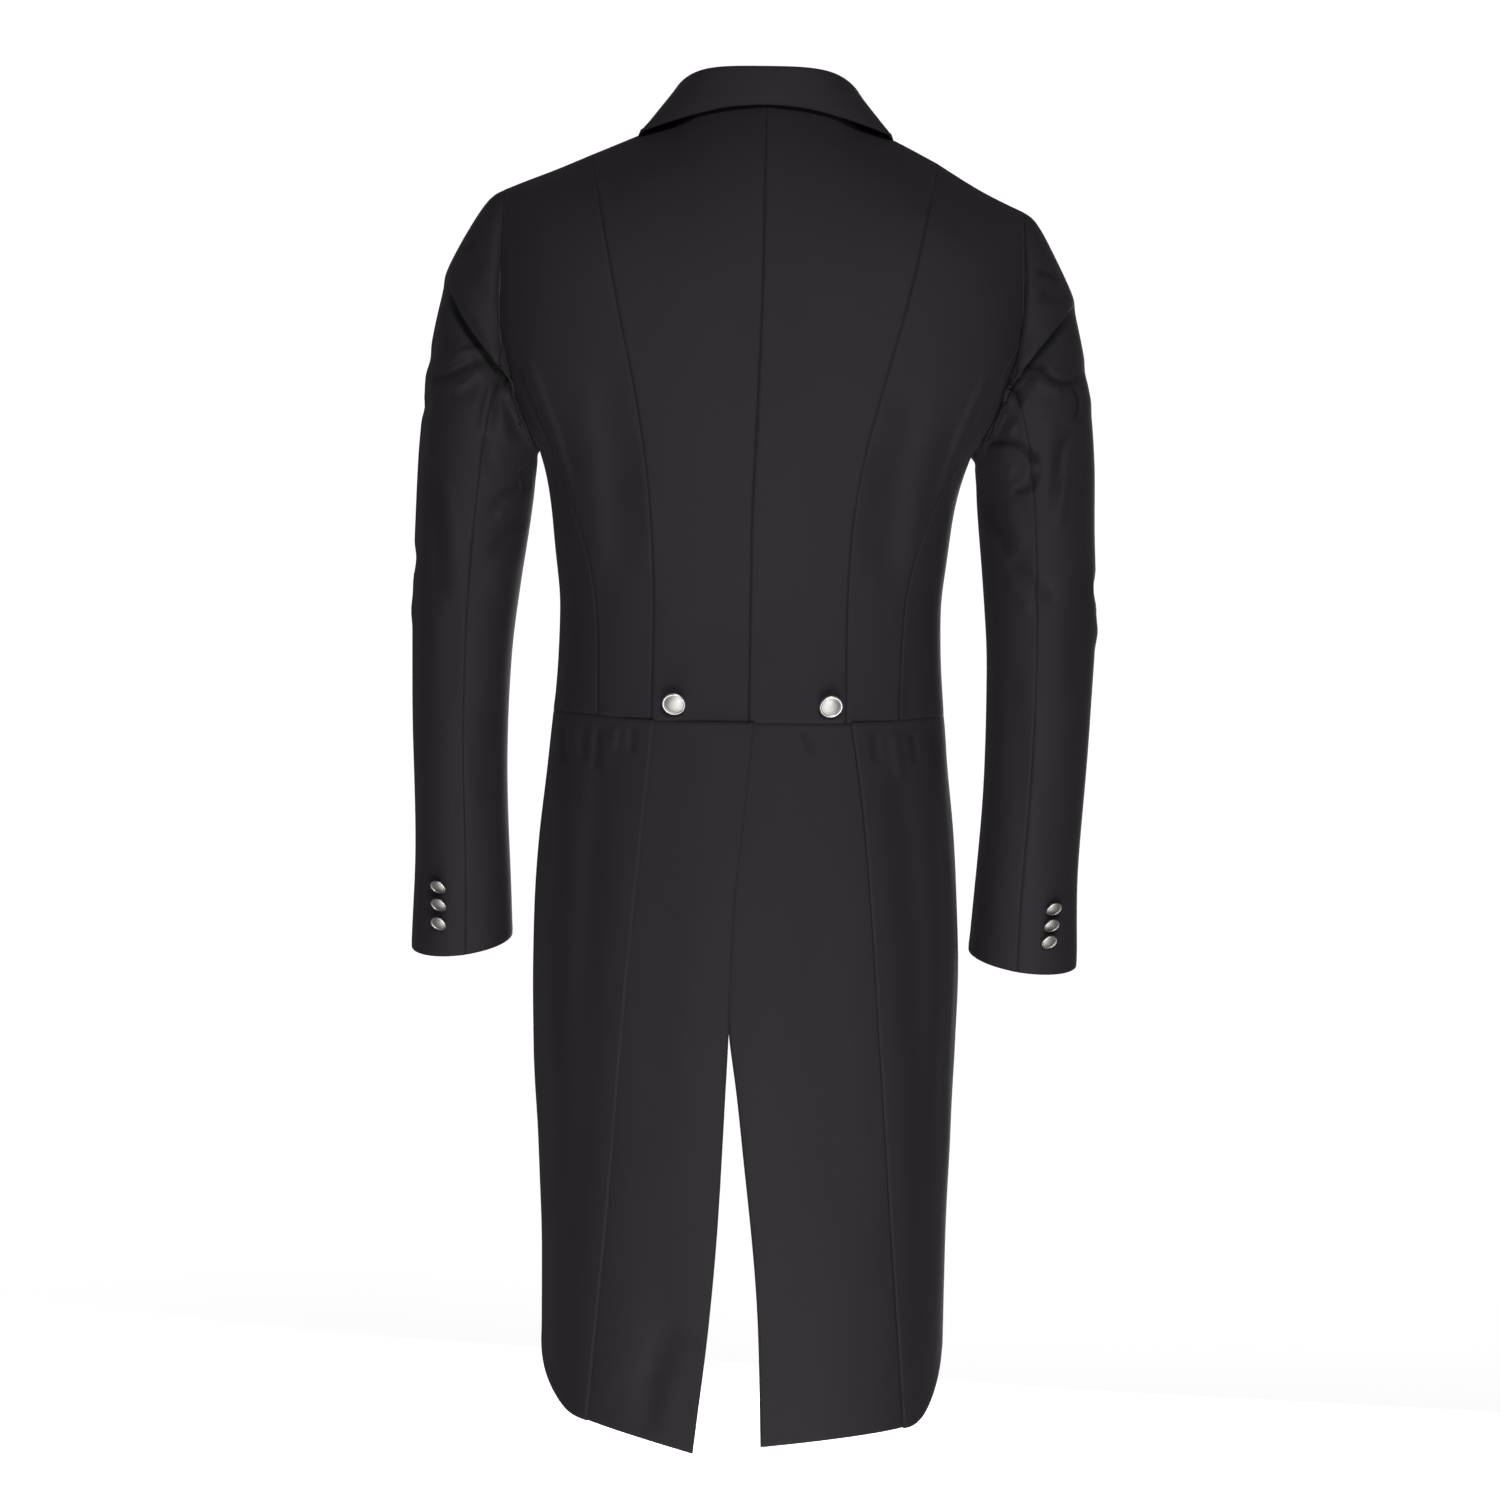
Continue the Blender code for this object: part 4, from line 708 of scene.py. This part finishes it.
HIDDEN_RIGHT_SLEEVE = (
    on_right(((50, -156), (16, -140), (-34, -146)), 8, -1.2),
    on_right(((42, -176), (8, -164), (-30, -172)), 8, 0.8),
    on_right(((-42, -300), (-10, -322), (28, -318)), 10, -2.4),
    on_right(((-40, -344), (-12, -360), (24, -352)), 9, 1.6),
    on_right(((-44, -390), (-32, -440), (-30, -520)), 10, -1.6),
    on_front(((-196, -196), (-224, -182), (-258, -184)), 6, -2.6),
    on_front(((-198, -230), (-226, -240), (-260, -230)), 6, 1.8),
    on_front(((-204, -292), (-228, -310), (-262, -300)), 7, -3.2),
    on_front(((-206, -328), (-232, -340), (-262, -330)), 6, 2.2),
    on_front(((-206, -366), (-230, -376), (-256, -362)), 8, -2.0),
    on_front(((-214, -112), (-228, -144), (-234, -172)), 8, -1.6),
)
print("creases on the sleeves:", len(LEFT_SLEEVE), "and", len(RIGHT_SLEEVE))
print("creases on body and tails:", len(BODY), "and", len(TAILS))
print("hidden creases:", len(HIDDEN_LEFT_SLEEVE) + len(HIDDEN_RIGHT_SLEEVE))


# %% [markdown]
# To press a crease in, each point of the sheet is compared with the crease's path, which
# runs smoothly through its places. How near a point lies gives the shape across, and how
# far along it lies fades the ends. The cloth only moves as far as it faces the side that
# the crease is seen from. All the points are handled at once, because a sheet has
# thousands.

# %% Measure points against a path
STEPS_PER_SPAN = 7
FADE_SHARE = 0.24


def eased(t):
    t = np.clip(t, 0.0, 1.0)
    return t * t * (3.0 - 2.0 * t)


def smooth_path(path):
    """Points on a smooth curve through the places of a path, in metres."""
    places = np.array(path, dtype=float) * MM
    places = np.vstack((2 * places[0] - places[1], places, 2 * places[-1] - places[-2]))
    t = np.linspace(0.0, 1.0, STEPS_PER_SPAN, endpoint=False)[:, None]
    curve = [
        0.5
        * (
            2 * b
            + (c - a) * t
            + (2 * a - 5 * b + 4 * c - d) * t * t
            + (3 * b - a - 3 * c + d) * t * t * t
        )
        for a, b, c, d in zip(places, places[1:], places[2:], places[3:])
    ]
    return np.vstack((*curve, places[-2]))


def measure_path(places, path, reach):
    """Which places lie near a path, how near, on which side, how far along, and the
    path's direction there."""
    curve = smooth_path(path)
    low, high = curve.min(axis=0) - reach, curve.max(axis=0) + reach
    near = np.flatnonzero(((places > low) & (places < high)).all(axis=1))
    asked = places[near]
    gap = np.full(len(near), np.inf)
    side = np.zeros(len(near))
    along = np.zeros(len(near))
    heading = np.zeros((len(near), 2))
    for i, (start, span) in enumerate(zip(curve, np.diff(curve, axis=0))):
        share = np.clip(((asked - start) @ span) / (span @ span), 0.0, 1.0)
        apart = asked - start - share[:, None] * span
        distance = np.linalg.norm(apart, axis=1)
        closer = distance < gap
        gap = np.where(closer, distance, gap)
        turn = apart[:, 0] * span[1] - apart[:, 1] * span[0]
        side = np.where(closer, np.sign(turn), side)
        along = np.where(closer, (i + share) / (len(curve) - 1), along)
        heading[closer] = span / np.linalg.norm(span)
    return near, gap, side, along, heading


# %% [markdown]
# A fold has the shape of a soft hill across its path. A flap's two sides differ: the
# upper one swells towards the edge, the lower one lies deep just under it and comes back
# up further down. A painted shade is stored with the cloth: nearly black under a flap's
# edge, and darker in a trough the steeper it is. At the armhole, sleeve and body dive down
# to their seam, and creases seen from the back fade before they get there.

# %% Press the creases in
FOLD_REACH = 1.7
FLAP_EDGE = 0.0006
FLAP_OVERHANG = 0.0012
FLAP_LIP = 0.006
# How wide the nearly black painted shade under a flap's edge is, how far it fades, and how dark a
# trough is painted for its steepness.
FLAP_SHADE_BAND = 0.0040
FLAP_SHADE_FADE = 0.0050
STEEP_PAINTED_SHADE = 0.9
FACING_START = 0.05
FACING_SPAN = 0.35
ARMHOLE_WALL = 0.0065
ARMHOLE_LIP = 0.0085


def reach_of(crease):
    if isinstance(crease, Flap):
        return max(crease.upper_reach, crease.lower_reach) * MM
    return FOLD_REACH * crease.half_width * MM


def crease_rise(crease, gap, side, along):
    """How far points move out, how far they hang over the path, and how much shade is painted
    there.
    """
    ends = eased(along / FADE_SHARE) * eased((1.0 - along) / FADE_SHARE)
    if isinstance(crease, Fold):
        hill = 1.0 - eased(gap / reach_of(crease))
        steep = max(-crease.rise, 0.0) / crease.half_width
        # Painted shade in a trough, darker the steeper it is.
        dark = STEEP_PAINTED_SHADE * steep * ends * hill**2
        return crease.rise * MM * ends * hill, np.zeros_like(gap), dark
    signed = gap * side
    upper = crease.rise * MM * (1.0 - eased(signed / (crease.upper_reach * MM)))
    lower = -crease.drop * MM * (1.0 - eased(-signed / (crease.lower_reach * MM)))
    above = eased((signed + FLAP_EDGE) / (2 * FLAP_EDGE))
    overhang = FLAP_OVERHANG * above * (1.0 - eased(signed / FLAP_LIP))
    # Painted shade, nearly black, in a band just under a flap's edge.
    dark = (1.0 - above) * (1.0 - eased((-signed - FLAP_SHADE_BAND) / FLAP_SHADE_FADE))
    return ends * (upper * above + lower * (1.0 - above)), ends * overhang, ends * dark


def store(mesh, name, values):
    """Keeps one number for each point of a mesh, for the twill to read."""
    kept = mesh.attributes.new(name, "FLOAT", "POINT")
    kept.data.foreach_set("value", values.astype(np.float32))


def press(piece, creases, from_armhole):
    mesh = piece.data
    points = numbers(mesh.vertices, "co", 3)
    normals = numbers(mesh.vertex_normals, "vector", 3)
    moved = np.zeros_like(points)
    painted_shade_at = np.zeros(len(points))
    hold = eased((from_armhole - ARMHOLE_WALL) / ARMHOLE_LIP)
    for crease in creases:
        axis, direction = VIEWS[crease.seen]
        near, gap, side, along, heading = measure_path(
            points[:, (axis, 2)], crease.path, reach_of(crease)
        )
        facing = eased((normals[near] @ direction + FACING_START) / FACING_SPAN)
        if crease.seen == "back":
            facing *= hold[near]
        rise, overhang, dark = crease_rise(crease, gap, side, along)
        painted_shade_at[near] = np.maximum(painted_shade_at[near], dark * facing)
        moved[near] += (rise * facing)[:, None] * direction
        moved[near, axis] -= overhang * facing * heading[:, 1]
        moved[near, 2] += overhang * facing * heading[:, 0]
    put_points(mesh, points + moved)
    # The painted shade is kept with each point for the twill's colour.
    store(mesh, "painted_shade", np.minimum(painted_shade_at, 1.0))
    shift = np.linalg.norm(moved, axis=1)
    print(piece.name, "moves by up to", round(float(shift.max()) * 1000, 1), "mm")


# %% [markdown]
# The subdivided sheets have faces of 2 to 3 mm, which is too coarse for a sharp crease.
# Halving every face of the coat would make it heavy, so only those near a sharp crease
# are cut finer, and those right at a flap's edge once more.

# %% Cut the cloth finer at sharp creases
SHARP_HALF_WIDTH = 5.1
FLAP_ZONE = 0.010
FLAP_FINE_ZONE = 0.0032
LEAST_FACING = 0.02


def faces_near(mesh, crease, zone):
    axis, direction = VIEWS[crease.seen]
    centres = numbers(mesh.polygons, "center", 3)
    normals = numbers(mesh.polygons, "normal", 3)
    near, gap, _, _, _ = measure_path(centres[:, (axis, 2)], crease.path, zone)
    return near[(gap < zone) & (normals[near] @ direction > LEAST_FACING)]


def cut_finer(piece, creases):
    mesh = piece.data
    flaps = [crease for crease in creases if isinstance(crease, Flap)]
    sharp = [
        (crease, FLAP_ZONE if isinstance(crease, Flap) else reach_of(crease))
        for crease in creases
        if isinstance(crease, Flap) or crease.half_width < SHARP_HALF_WIDTH
    ]
    bpy.context.tool_settings.mesh_select_mode = (False, False, True)
    for zones in (sharp, [(flap, FLAP_FINE_ZONE) for flap in flaps]):
        chosen = np.zeros(len(mesh.polygons), dtype=bool)
        for crease, zone in zones:
            chosen[faces_near(mesh, crease, zone)] = True
        if chosen.any():
            in_edit_mode(piece, pick_none)
            mesh.polygons.foreach_set("select", chosen)
            in_edit_mode(piece, lambda: bpy.ops.mesh.subdivide(number_cuts=1))


# %% [markdown]
# No cloth hangs perfectly even. Besides the creases, a slow unevenness of about half a
# millimetre runs over every piece, and along its edges a small pucker where the stitches
# draw the cloth in. Both need to know how far a point is from the piece's edge. The twill
# uses that as well, and also how far it is to the sewn part of the edge, which is where
# another piece's edge runs right beside it and where the twill paints shade. A hem or a
# vent has no such neighbour.

# %% Distance from the edge, and small unevenness
SEAM_SINK = 0.00022
COLLAR_SINK = 0.0016
SEAM_SINK_WIDTH = 0.0018
SINK_SPREAD = 4.0
SLOW_SIZE = 0.075
SLOW_RISE = 0.0007
SLOW_START = 0.012
PUCKER_SIZE = 0.011
PUCKER_RISE = 0.00028
PUCKER_REACH = 0.011
PUCKER_START = 0.0015
PUCKER_SHIFT = Vector((7.0, 3.0, 5.0))
SEWN_WITHIN = 0.0016
FAR_AWAY = 1.0
BODY_PIECES = ("back", "side_panel", "front")

border_lines = {}
for name, piece in sheets.items():
    points = numbers(piece.data.vertices, "co", 3)
    here, before, after = border_ring(piece.data)
    border_lines[name] = (points[here], points[after])


def is_sewn(name, places, only_to=("",)):
    """Whether each place lies beside another piece's border, or that of some pieces."""
    sewn = np.zeros(len(places), dtype=bool)
    for other, (start, end) in border_lines.items():
        if other == name or not any(word in other for word in only_to):
            continue
        span = end - start
        offset = places[:, None, :] - start[None, :, :]
        share = np.clip((offset * span).sum(axis=2) / (span * span).sum(axis=1), 0.0, 1.0)
        gap = np.linalg.norm(offset - share[:, :, None] * span, axis=2)
        sewn |= gap.min(axis=1) < SEWN_WITHIN
    return sewn


def distance_to(points, here, before, after):
    """How far each point is from the border that these ring points make, a metre at most."""
    if len(here) == 0:
        return np.full(len(points), FAR_AWAY)
    tree = KDTree(len(here))
    for rank, i in enumerate(here.tolist()):
        tree.insert(points[i], rank)
    tree.balance()
    nearest = np.array([tree.find(point)[1] for point in points])
    distance = np.full(len(points), FAR_AWAY)
    start = points[here[nearest]]
    for neighbour in (before, after):
        span = points[neighbour[nearest]] - start
        share = ((points - start) * span).sum(axis=1) / (span * span).sum(axis=1)
        gap = start + np.clip(share, 0.0, 1.0)[:, None] * span - points
        distance = np.minimum(distance, np.linalg.norm(gap, axis=1))
    return distance


def armhole_distance(name):
    """How far each point is from where a sleeve is sewn to the body."""
    mesh = sheets[name].data
    points = numbers(mesh.vertices, "co", 3)
    here, before, after = border_ring(mesh)
    held = is_sewn(name, points[here], BODY_PIECES if "sleeve" in name else ("sleeve",))
    return distance_to(points, here[held], before[held], after[held])


def edge_distance(name):
    mesh = sheets[name].data
    points = numbers(mesh.vertices, "co", 3)
    here, before, after = border_ring(mesh)
    distance = distance_to(points, here, before, after)
    store(mesh, "from_edge", distance)
    sewn = is_sewn(name, points[here])
    store(mesh, "from_seam", distance_to(points, here[sewn], before[sewn], after[sewn]))
    print(name, "is sewn along", round(float(sewn.mean()) * 100), "% of its edge")
    return distance


def unsettle(piece, distance, seam_sink):
    """Moves a sheet in and out a little, puckers it along its edge and sinks the edge."""
    mesh = piece.data
    points = numbers(mesh.vertices, "co", 3)
    slow = np.array([noise.noise(point / SLOW_SIZE) for point in map(Vector, points)])
    slow *= SLOW_RISE * np.minimum(distance / SLOW_START, 1.0)
    pucker = np.zeros(len(points))
    for i in np.flatnonzero(distance < PUCKER_REACH).tolist():
        pucker[i] = noise.noise(Vector(points[i]) / PUCKER_SIZE + PUCKER_SHIFT)
    pucker *= PUCKER_RISE * np.clip(1.0 - distance / PUCKER_REACH, 0.0, 1.0)
    pucker *= np.minimum(distance / PUCKER_START, 1.0)
    sink = seam_sink * (1.0 - eased(distance / (SEAM_SINK_WIDTH + SINK_SPREAD * seam_sink)))
    rise = (slow + pucker - sink)[:, None]
    points += numbers(mesh.vertex_normals, "vector", 3) * rise
    put_points(mesh, points)


# %% [markdown]
# The solids stand a hair apart where pieces are sewn together, and light would shine
# through that. Real seams are shut, so the cloth's border is let out sideways until
# neighbours meet. The rounded rims still leave the fine groove that a pressed seam shows.

# %% Let the seams out
SEAM_LET_OUT = 0.0003


def let_seams_out(piece):
    mesh = piece.data
    points = numbers(mesh.vertices, "co", 3)
    normals = numbers(mesh.vertex_normals, "vector", 3)
    here, before, after = border_ring(mesh)
    outward = np.cross(points[after] - points[before], normals[here])
    outward /= np.linalg.norm(outward, axis=1, keepdims=True)
    points[here] += outward * SEAM_LET_OUT
    put_points(mesh, points)


# %% [markdown]
# A sheet is finished in the same order every time: sharpen the shared corners, lay it out
# flat, subdivide it, cut it finer at the sharp creases, press the creases in, let it
# settle, let its seams out, and give it its thickness inwards. A tiny bevel along the rim
# turns the raw edge into a pressed one, and the narrow groove between two of them is the
# seam.

# %% Finish a sheet of cloth
SMOOTH_LEVELS = 3
EDGE_ROUND = 0.00028


def apply_modifier(piece, kind, **settings):
    modifier = piece.modifiers.new(kind.lower(), kind)
    for key, value in settings.items():
        setattr(modifier, key, value)
    only(piece)
    bpy.ops.object.modifier_apply(modifier=modifier.name)


def round_rims(piece, outer_count):
    """Bevels the long edges of a wall's rim, outside and inside."""
    mesh = piece.data
    edges = numbers(mesh.edges, "vertices", 2, np.int32)
    on_border = numbers(mesh.attributes["from_edge"].data, "value", kind=np.float32) == 0.0
    outside = edges < outer_count
    along_rim = on_border[edges].all(axis=1) & (outside[:, 0] == outside[:, 1])
    weights = mesh.attributes.new("bevel_weight_edge", "FLOAT", "EDGE")
    weights.data.foreach_set("value", along_rim.astype(np.float32))
    apply_modifier(piece, "BEVEL", width=EDGE_ROUND, segments=2, limit_method="WEIGHT")


def finish_sheet(name, creases, upright=UP, sink=SEAM_SINK):
    piece = sheets[name]
    sharpen_corners(piece)
    width, length, area = flat_cut(piece, upright)
    apply_modifier(
        piece,
        "SUBSURF",
        levels=SMOOTH_LEVELS,
        render_levels=SMOOTH_LEVELS,
        boundary_smooth="PRESERVE_CORNERS",
    )
    cut_finer(piece, creases)
    distance = edge_distance(name)
    press(piece, creases, armhole_distance(name))
    unsettle(piece, distance, sink)
    let_seams_out(piece)
    outer_count = len(piece.data.vertices)
    apply_modifier(piece, "SOLIDIFY", thickness=WALL, offset=-1.0)
    round_rims(piece, outer_count)
    only(piece)
    bpy.ops.object.shade_smooth()
    piece.data.materials.append(twill.material)
    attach(piece, "root")
    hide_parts(name)


# %% [markdown]
# The back is four long pieces. The two middle ones meet in the centre-back seam, and each
# side back curves out to the armhole. They carry the broad rolls beside the long seams,
# which show how closely the coat is fitted.

# %% Back and side backs
for word in SIDES:
    finish_sheet(f"back_{word}", BODY)
    finish_sheet(f"side_back_{word}", BODY)

# %% [markdown]
# The side panels close the body under the arm, and the fronts are cut away at the waist.
# The fronts lie on the hidden side, so they are kept plain, with a few soft pulls from
# the buttons.

# %% Side panels and fronts
for word in SIDES:
    finish_sheet(f"side_panel_{word}", BODY)
    finish_sheet(f"front_{word}", BODY)

# %% [markdown]
# The sleeves are set in with a little too much cloth, so below the cap they hang in a
# fold over the arm, and a fan of creases runs out of the armhole. The top sleeve and the
# under sleeve take the same creases, so a crease can cross the seam between them.

# %% Sleeves
SLEEVE_CREASES = {
    "left": LEFT_SLEEVE + HIDDEN_LEFT_SLEEVE,
    "right": RIGHT_SLEEVE + HIDDEN_RIGHT_SLEEVE,
}
for word, creases in SLEEVE_CREASES.items():
    finish_sheet(f"top_sleeve_{word}", creases)
    finish_sheet(f"under_sleeve_{word}", creases)

# %% [markdown]
# The tails hang from the waist seam: a centre tail with the vent edge, and a side skirt
# whose pleated edge laps over it. The left tail lies on the right one.

# %% Tails
for word in SIDES:
    finish_sheet(f"back_tail_{word}", TAILS)
    finish_sheet(f"side_tail_{word}", TAILS)

# %% [markdown]
# The collar is one folded strip and the lapels are turned-back corners of the fronts.
# Both are pressed flat and firm, so they get no creases of their own. The collar's edges
# are drawn down close to the cloth that they lie on.

# %% Collar and lapels
finish_sheet("collar", (), upright=ACROSS_THE_COAT, sink=COLLAR_SINK)
for word in SIDES:
    finish_sheet(f"lapel_{word}", ())

# %% [markdown]
# Each metal button is a turned piece: a low dome inside a raised rim, a thin back and a
# short shank. Its profile is drawn by pulling one point from place to place, and then it
# is spun round its own axis. The solid in the frame shows where the button sits and which
# way it droops, so its axis is read from there.

# %% Turn a button
SPIN_STEPS = 40
SPIN_MERGE = 0.00001
SEED_SIZE = 0.001
FACE_UNDER_TOP = 0.0014
RIM_AT = 0.9
RIM_FADE = 0.14
SHANK_SHARE = 0.22
# Shares of a button's radius: how far out, and how far above its face.
DOME = ((0.0, 0.080), (0.35, 0.060), (0.62, 0.005))
GROOVE = ((0.76, -0.050), (0.79, -0.060))
RAISED_RIM = ((0.83, 0.010), (0.90, 0.020), (0.96, -0.020))
EDGE = ((1.0, -0.100), (1.0, -0.170), (0.95, -0.215))
BACK = ((0.30, -0.240), (SHANK_SHARE, -0.300))
Outline = namedtuple("Outline", "out up")


def button_outline(radius, top):
    """Half of a button's section, from the middle of its face to its foot."""
    face = top - FACE_UNDER_TOP
    shares = DOME + GROOVE + RAISED_RIM + EDGE + BACK
    rows = [Outline(radius * out, face + radius * up) for out, up in shares]
    return (*rows, Outline(radius * SHANK_SHARE, 0.0), Outline(0.0, 0.0))


def spin_button(name, outline):
    bpy.ops.object.select_all(action="DESELECT")
    bpy.ops.mesh.primitive_plane_add(size=SEED_SIZE)
    piece = bpy.context.object
    piece.name = name
    piece.data.name = name
    bpy.context.tool_settings.mesh_select_mode = (True, False, False)
    bpy.ops.object.mode_set(mode="EDIT")
    pick_all()
    bpy.ops.mesh.merge(type="CENTER")
    bpy.ops.transform.translate(value=(outline[0].out, 0.0, outline[0].up))
    for last, now in zip(outline, outline[1:]):
        step = (now.out - last.out, 0.0, now.up - last.up)
        bpy.ops.mesh.extrude_region_move(TRANSFORM_OT_translate={"value": step})
    pick_all()
    bpy.ops.mesh.spin(
        steps=SPIN_STEPS, angle=2 * math.pi, center=(0.0, 0.0, 0.0), axis=(0.0, 0.0, 1.0)
    )
    pick_all()
    bpy.ops.mesh.remove_doubles(threshold=SPIN_MERGE)
    bpy.ops.mesh.normals_make_consistent(inside=False)
    bpy.ops.object.mode_set(mode="OBJECT")
    return piece


def rub_rim(piece, radius):
    """Marks how far the finish is rubbed off, most on the rim."""
    rubbed_off = piece.data.attributes.new("rubbed", "FLOAT", "POINT")
    for point in piece.data.vertices:
        out = math.hypot(point.co.x, point.co.y) / radius
        rubbed_off.data[point.index].value = max(0.0, 1.0 - abs(out - RIM_AT) / RIM_FADE)


def solid_axis(node):
    """A button's axis and middle, and where the solid's two ends lie along the axis."""
    points = np.array([tuple(point.co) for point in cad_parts[node].data.vertices])
    middle = points.mean(axis=0)
    axis = np.linalg.eigh(np.cov((points - middle).T))[1][:, 0]
    reach = (points - middle) @ axis
    return Vector(axis), Vector(middle), float(reach.min()), float(reach.max())


# %% [markdown]
# The foot of a button is the thin end of its solid. On every button of this coat that
# end points at the coat's own middle or into the sleeve, so the axis is simply turned
# until it leads away from there.

# %% Sew the buttons on
COAT_BUTTON_RADIUS = 0.010
CUFF_BUTTON_RADIUS = 0.007
BUTTON_ROUND = 0.00012
ROUND_FROM = math.radians(35)
SMOOTH_UP_TO = math.radians(40)
INSIDE_TAIL = Vector((0.06, 0.0, -0.42))
INSIDE_CHEST = Vector((0.0, 0.0, -0.3))
CUFF_HEIGHT = -0.59


def sew_button(node, radius, away_from):
    axis, middle, low, high = solid_axis(node)
    if axis.dot(middle - away_from) < 0:
        axis, low, high = -axis, -high, -low
    depth = high - low
    piece = spin_button(f"{node}_metal", button_outline(radius, depth))
    rub_rim(piece, radius)
    turn = axis.to_track_quat("Z", "Y").to_matrix().to_4x4()
    piece.matrix_world = Matrix.Translation(middle + axis * low) @ turn
    only(piece)
    bpy.ops.object.transform_apply(location=True, rotation=True, scale=True)
    apply_modifier(piece, "BEVEL", width=BUTTON_ROUND, segments=2, angle_limit=ROUND_FROM)
    only(piece)
    bpy.ops.object.shade_smooth_by_angle(angle=SMOOTH_UP_TO)
    piece.data.materials.append(silver.material)
    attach(piece, "root")
    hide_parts(node)
    print(node, "faces", tuple(round(v, 2) for v in axis), "depth", round(depth * 1000, 1))


for word, side in SIDES.items():
    inside = INSIDE_TAIL * Vector((side, 1.0, 1.0))
    sew_button(f"back_button_{word}", COAT_BUTTON_RADIUS, inside)
    for number in (1, 2, 3):
        inside = arm_axis(side, CUFF_HEIGHT)
        sew_button(f"cuff_button_{word}_{number}", CUFF_BUTTON_RADIUS, inside)
for number in (1, 2, 3):
    sew_button(f"front_button_{number}", COAT_BUTTON_RADIUS, INSIDE_CHEST)

# %% [markdown]
# The stage is a pale sweep: a floor that bends up into a wall behind the coat, so that no
# line shows.

# %% Stage
FLOOR_Z = -1.45
FLOOR_SIZE = 9.0
BACKDROP_HEIGHT = 7.0
BEND_RADIUS = 1.2
BEND_STEPS = 10

bpy.ops.object.select_all(action="DESELECT")
bpy.ops.mesh.primitive_plane_add(size=FLOOR_SIZE, location=(0.0, 0.0, FLOOR_Z))
sweep = bpy.context.object
sweep.name = "pale_sweep"
bpy.ops.object.mode_set(mode="EDIT")
bpy.ops.mesh.select_mode(type="EDGE")
pick_none()
bpy.ops.object.mode_set(mode="OBJECT")
for edge in sweep.data.edges:
    ends = [sweep.data.vertices[i].co.y for i in edge.vertices]
    edge.select = max(ends) < 0.0
bpy.ops.object.mode_set(mode="EDIT")
rise = (0.0, 0.0, BACKDROP_HEIGHT)
bpy.ops.mesh.extrude_region_move(TRANSFORM_OT_translate={"value": rise})
bpy.ops.object.mode_set(mode="OBJECT")
apply_modifier(sweep, "BEVEL", width=BEND_RADIUS, segments=BEND_STEPS, limit_method="ANGLE")
only(sweep)
bpy.ops.object.shade_smooth()
pale = Finish(
    "pale_paper",
    Base_Color=(0.93, 0.93, 0.93, 1.0),
    Roughness=0.9,
    Emission_Color=(1.0, 1.0, 1.0, 1.0),
    Emission_Strength=0.8,
)
sweep.data.materials.append(pale.material)
sweep.visible_diffuse = False
sweep.visible_glossy = False
sweep.visible_shadow = False

# %% [markdown]
# A black garment is lit from large soft sources. In the photo the buttons throw their
# shadows upwards and the tails are bright, so one light stands low behind the coat and
# near it, and a stronger one farther off and high up. A wide one lights the front. The
# metal faces look down, and a card low behind the coat, which only glossy surfaces see,
# gives them something bright to reflect.

# %% Light
ROOM_LIGHT = 0.10
SEEN_BRIGHTNESS = 1.0
Lamp = namedtuple("Lamp", "name place aim size power")
LAMPS = (
    Lamp("high_light", (-0.7, 4.4, 1.9), (0.0, 0.0, -0.3), 1.0, 108.0),
    Lamp("low_light", (-0.3, 2.9, -1.75), (0.0, 0.0, -0.5), 0.9, 41.0),
    Lamp("front_light", (-0.6, -3.4, -0.2), (0.0, 0.0, -0.4), 2.0, 60.0),
    Lamp("button_card", (0.0, 0.9, -2.0), (0.0, 0.1, -0.5), 1.6, 26.0),
)
for lamp in LAMPS:
    turn = (Vector(lamp.aim) - Vector(lamp.place)).to_track_quat("-Z", "Y").to_euler()
    bpy.ops.object.light_add(type="AREA", location=lamp.place, rotation=turn)
    light = bpy.context.object
    light.name = lamp.name
    light.data.size = lamp.size
    light.data.energy = lamp.power
    light.visible_camera = False
    light.visible_diffuse = lamp.name != "button_card"

world = bpy.data.worlds.new("pale_room")
bpy.context.scene.world = world
world.use_nodes = True
world_nodes = world.node_tree.nodes
world_nodes["Background"].inputs["Color"].default_value = (1.0, 1.0, 1.0, 1.0)
seen = world_nodes.new("ShaderNodeLightPath")
brightness = world_nodes.new("ShaderNodeMapRange")
brightness.inputs["To Min"].default_value = ROOM_LIGHT
brightness.inputs["To Max"].default_value = SEEN_BRIGHTNESS
world.node_tree.links.new(seen.outputs["Is Camera Ray"], brightness.inputs["Value"])
world.node_tree.links.new(
    brightness.outputs["Result"], world_nodes["Background"].inputs["Strength"]
)
bpy.context.scene.view_settings.view_transform = "Standard"
print("lamps:", [lamp.name for lamp in LAMPS])
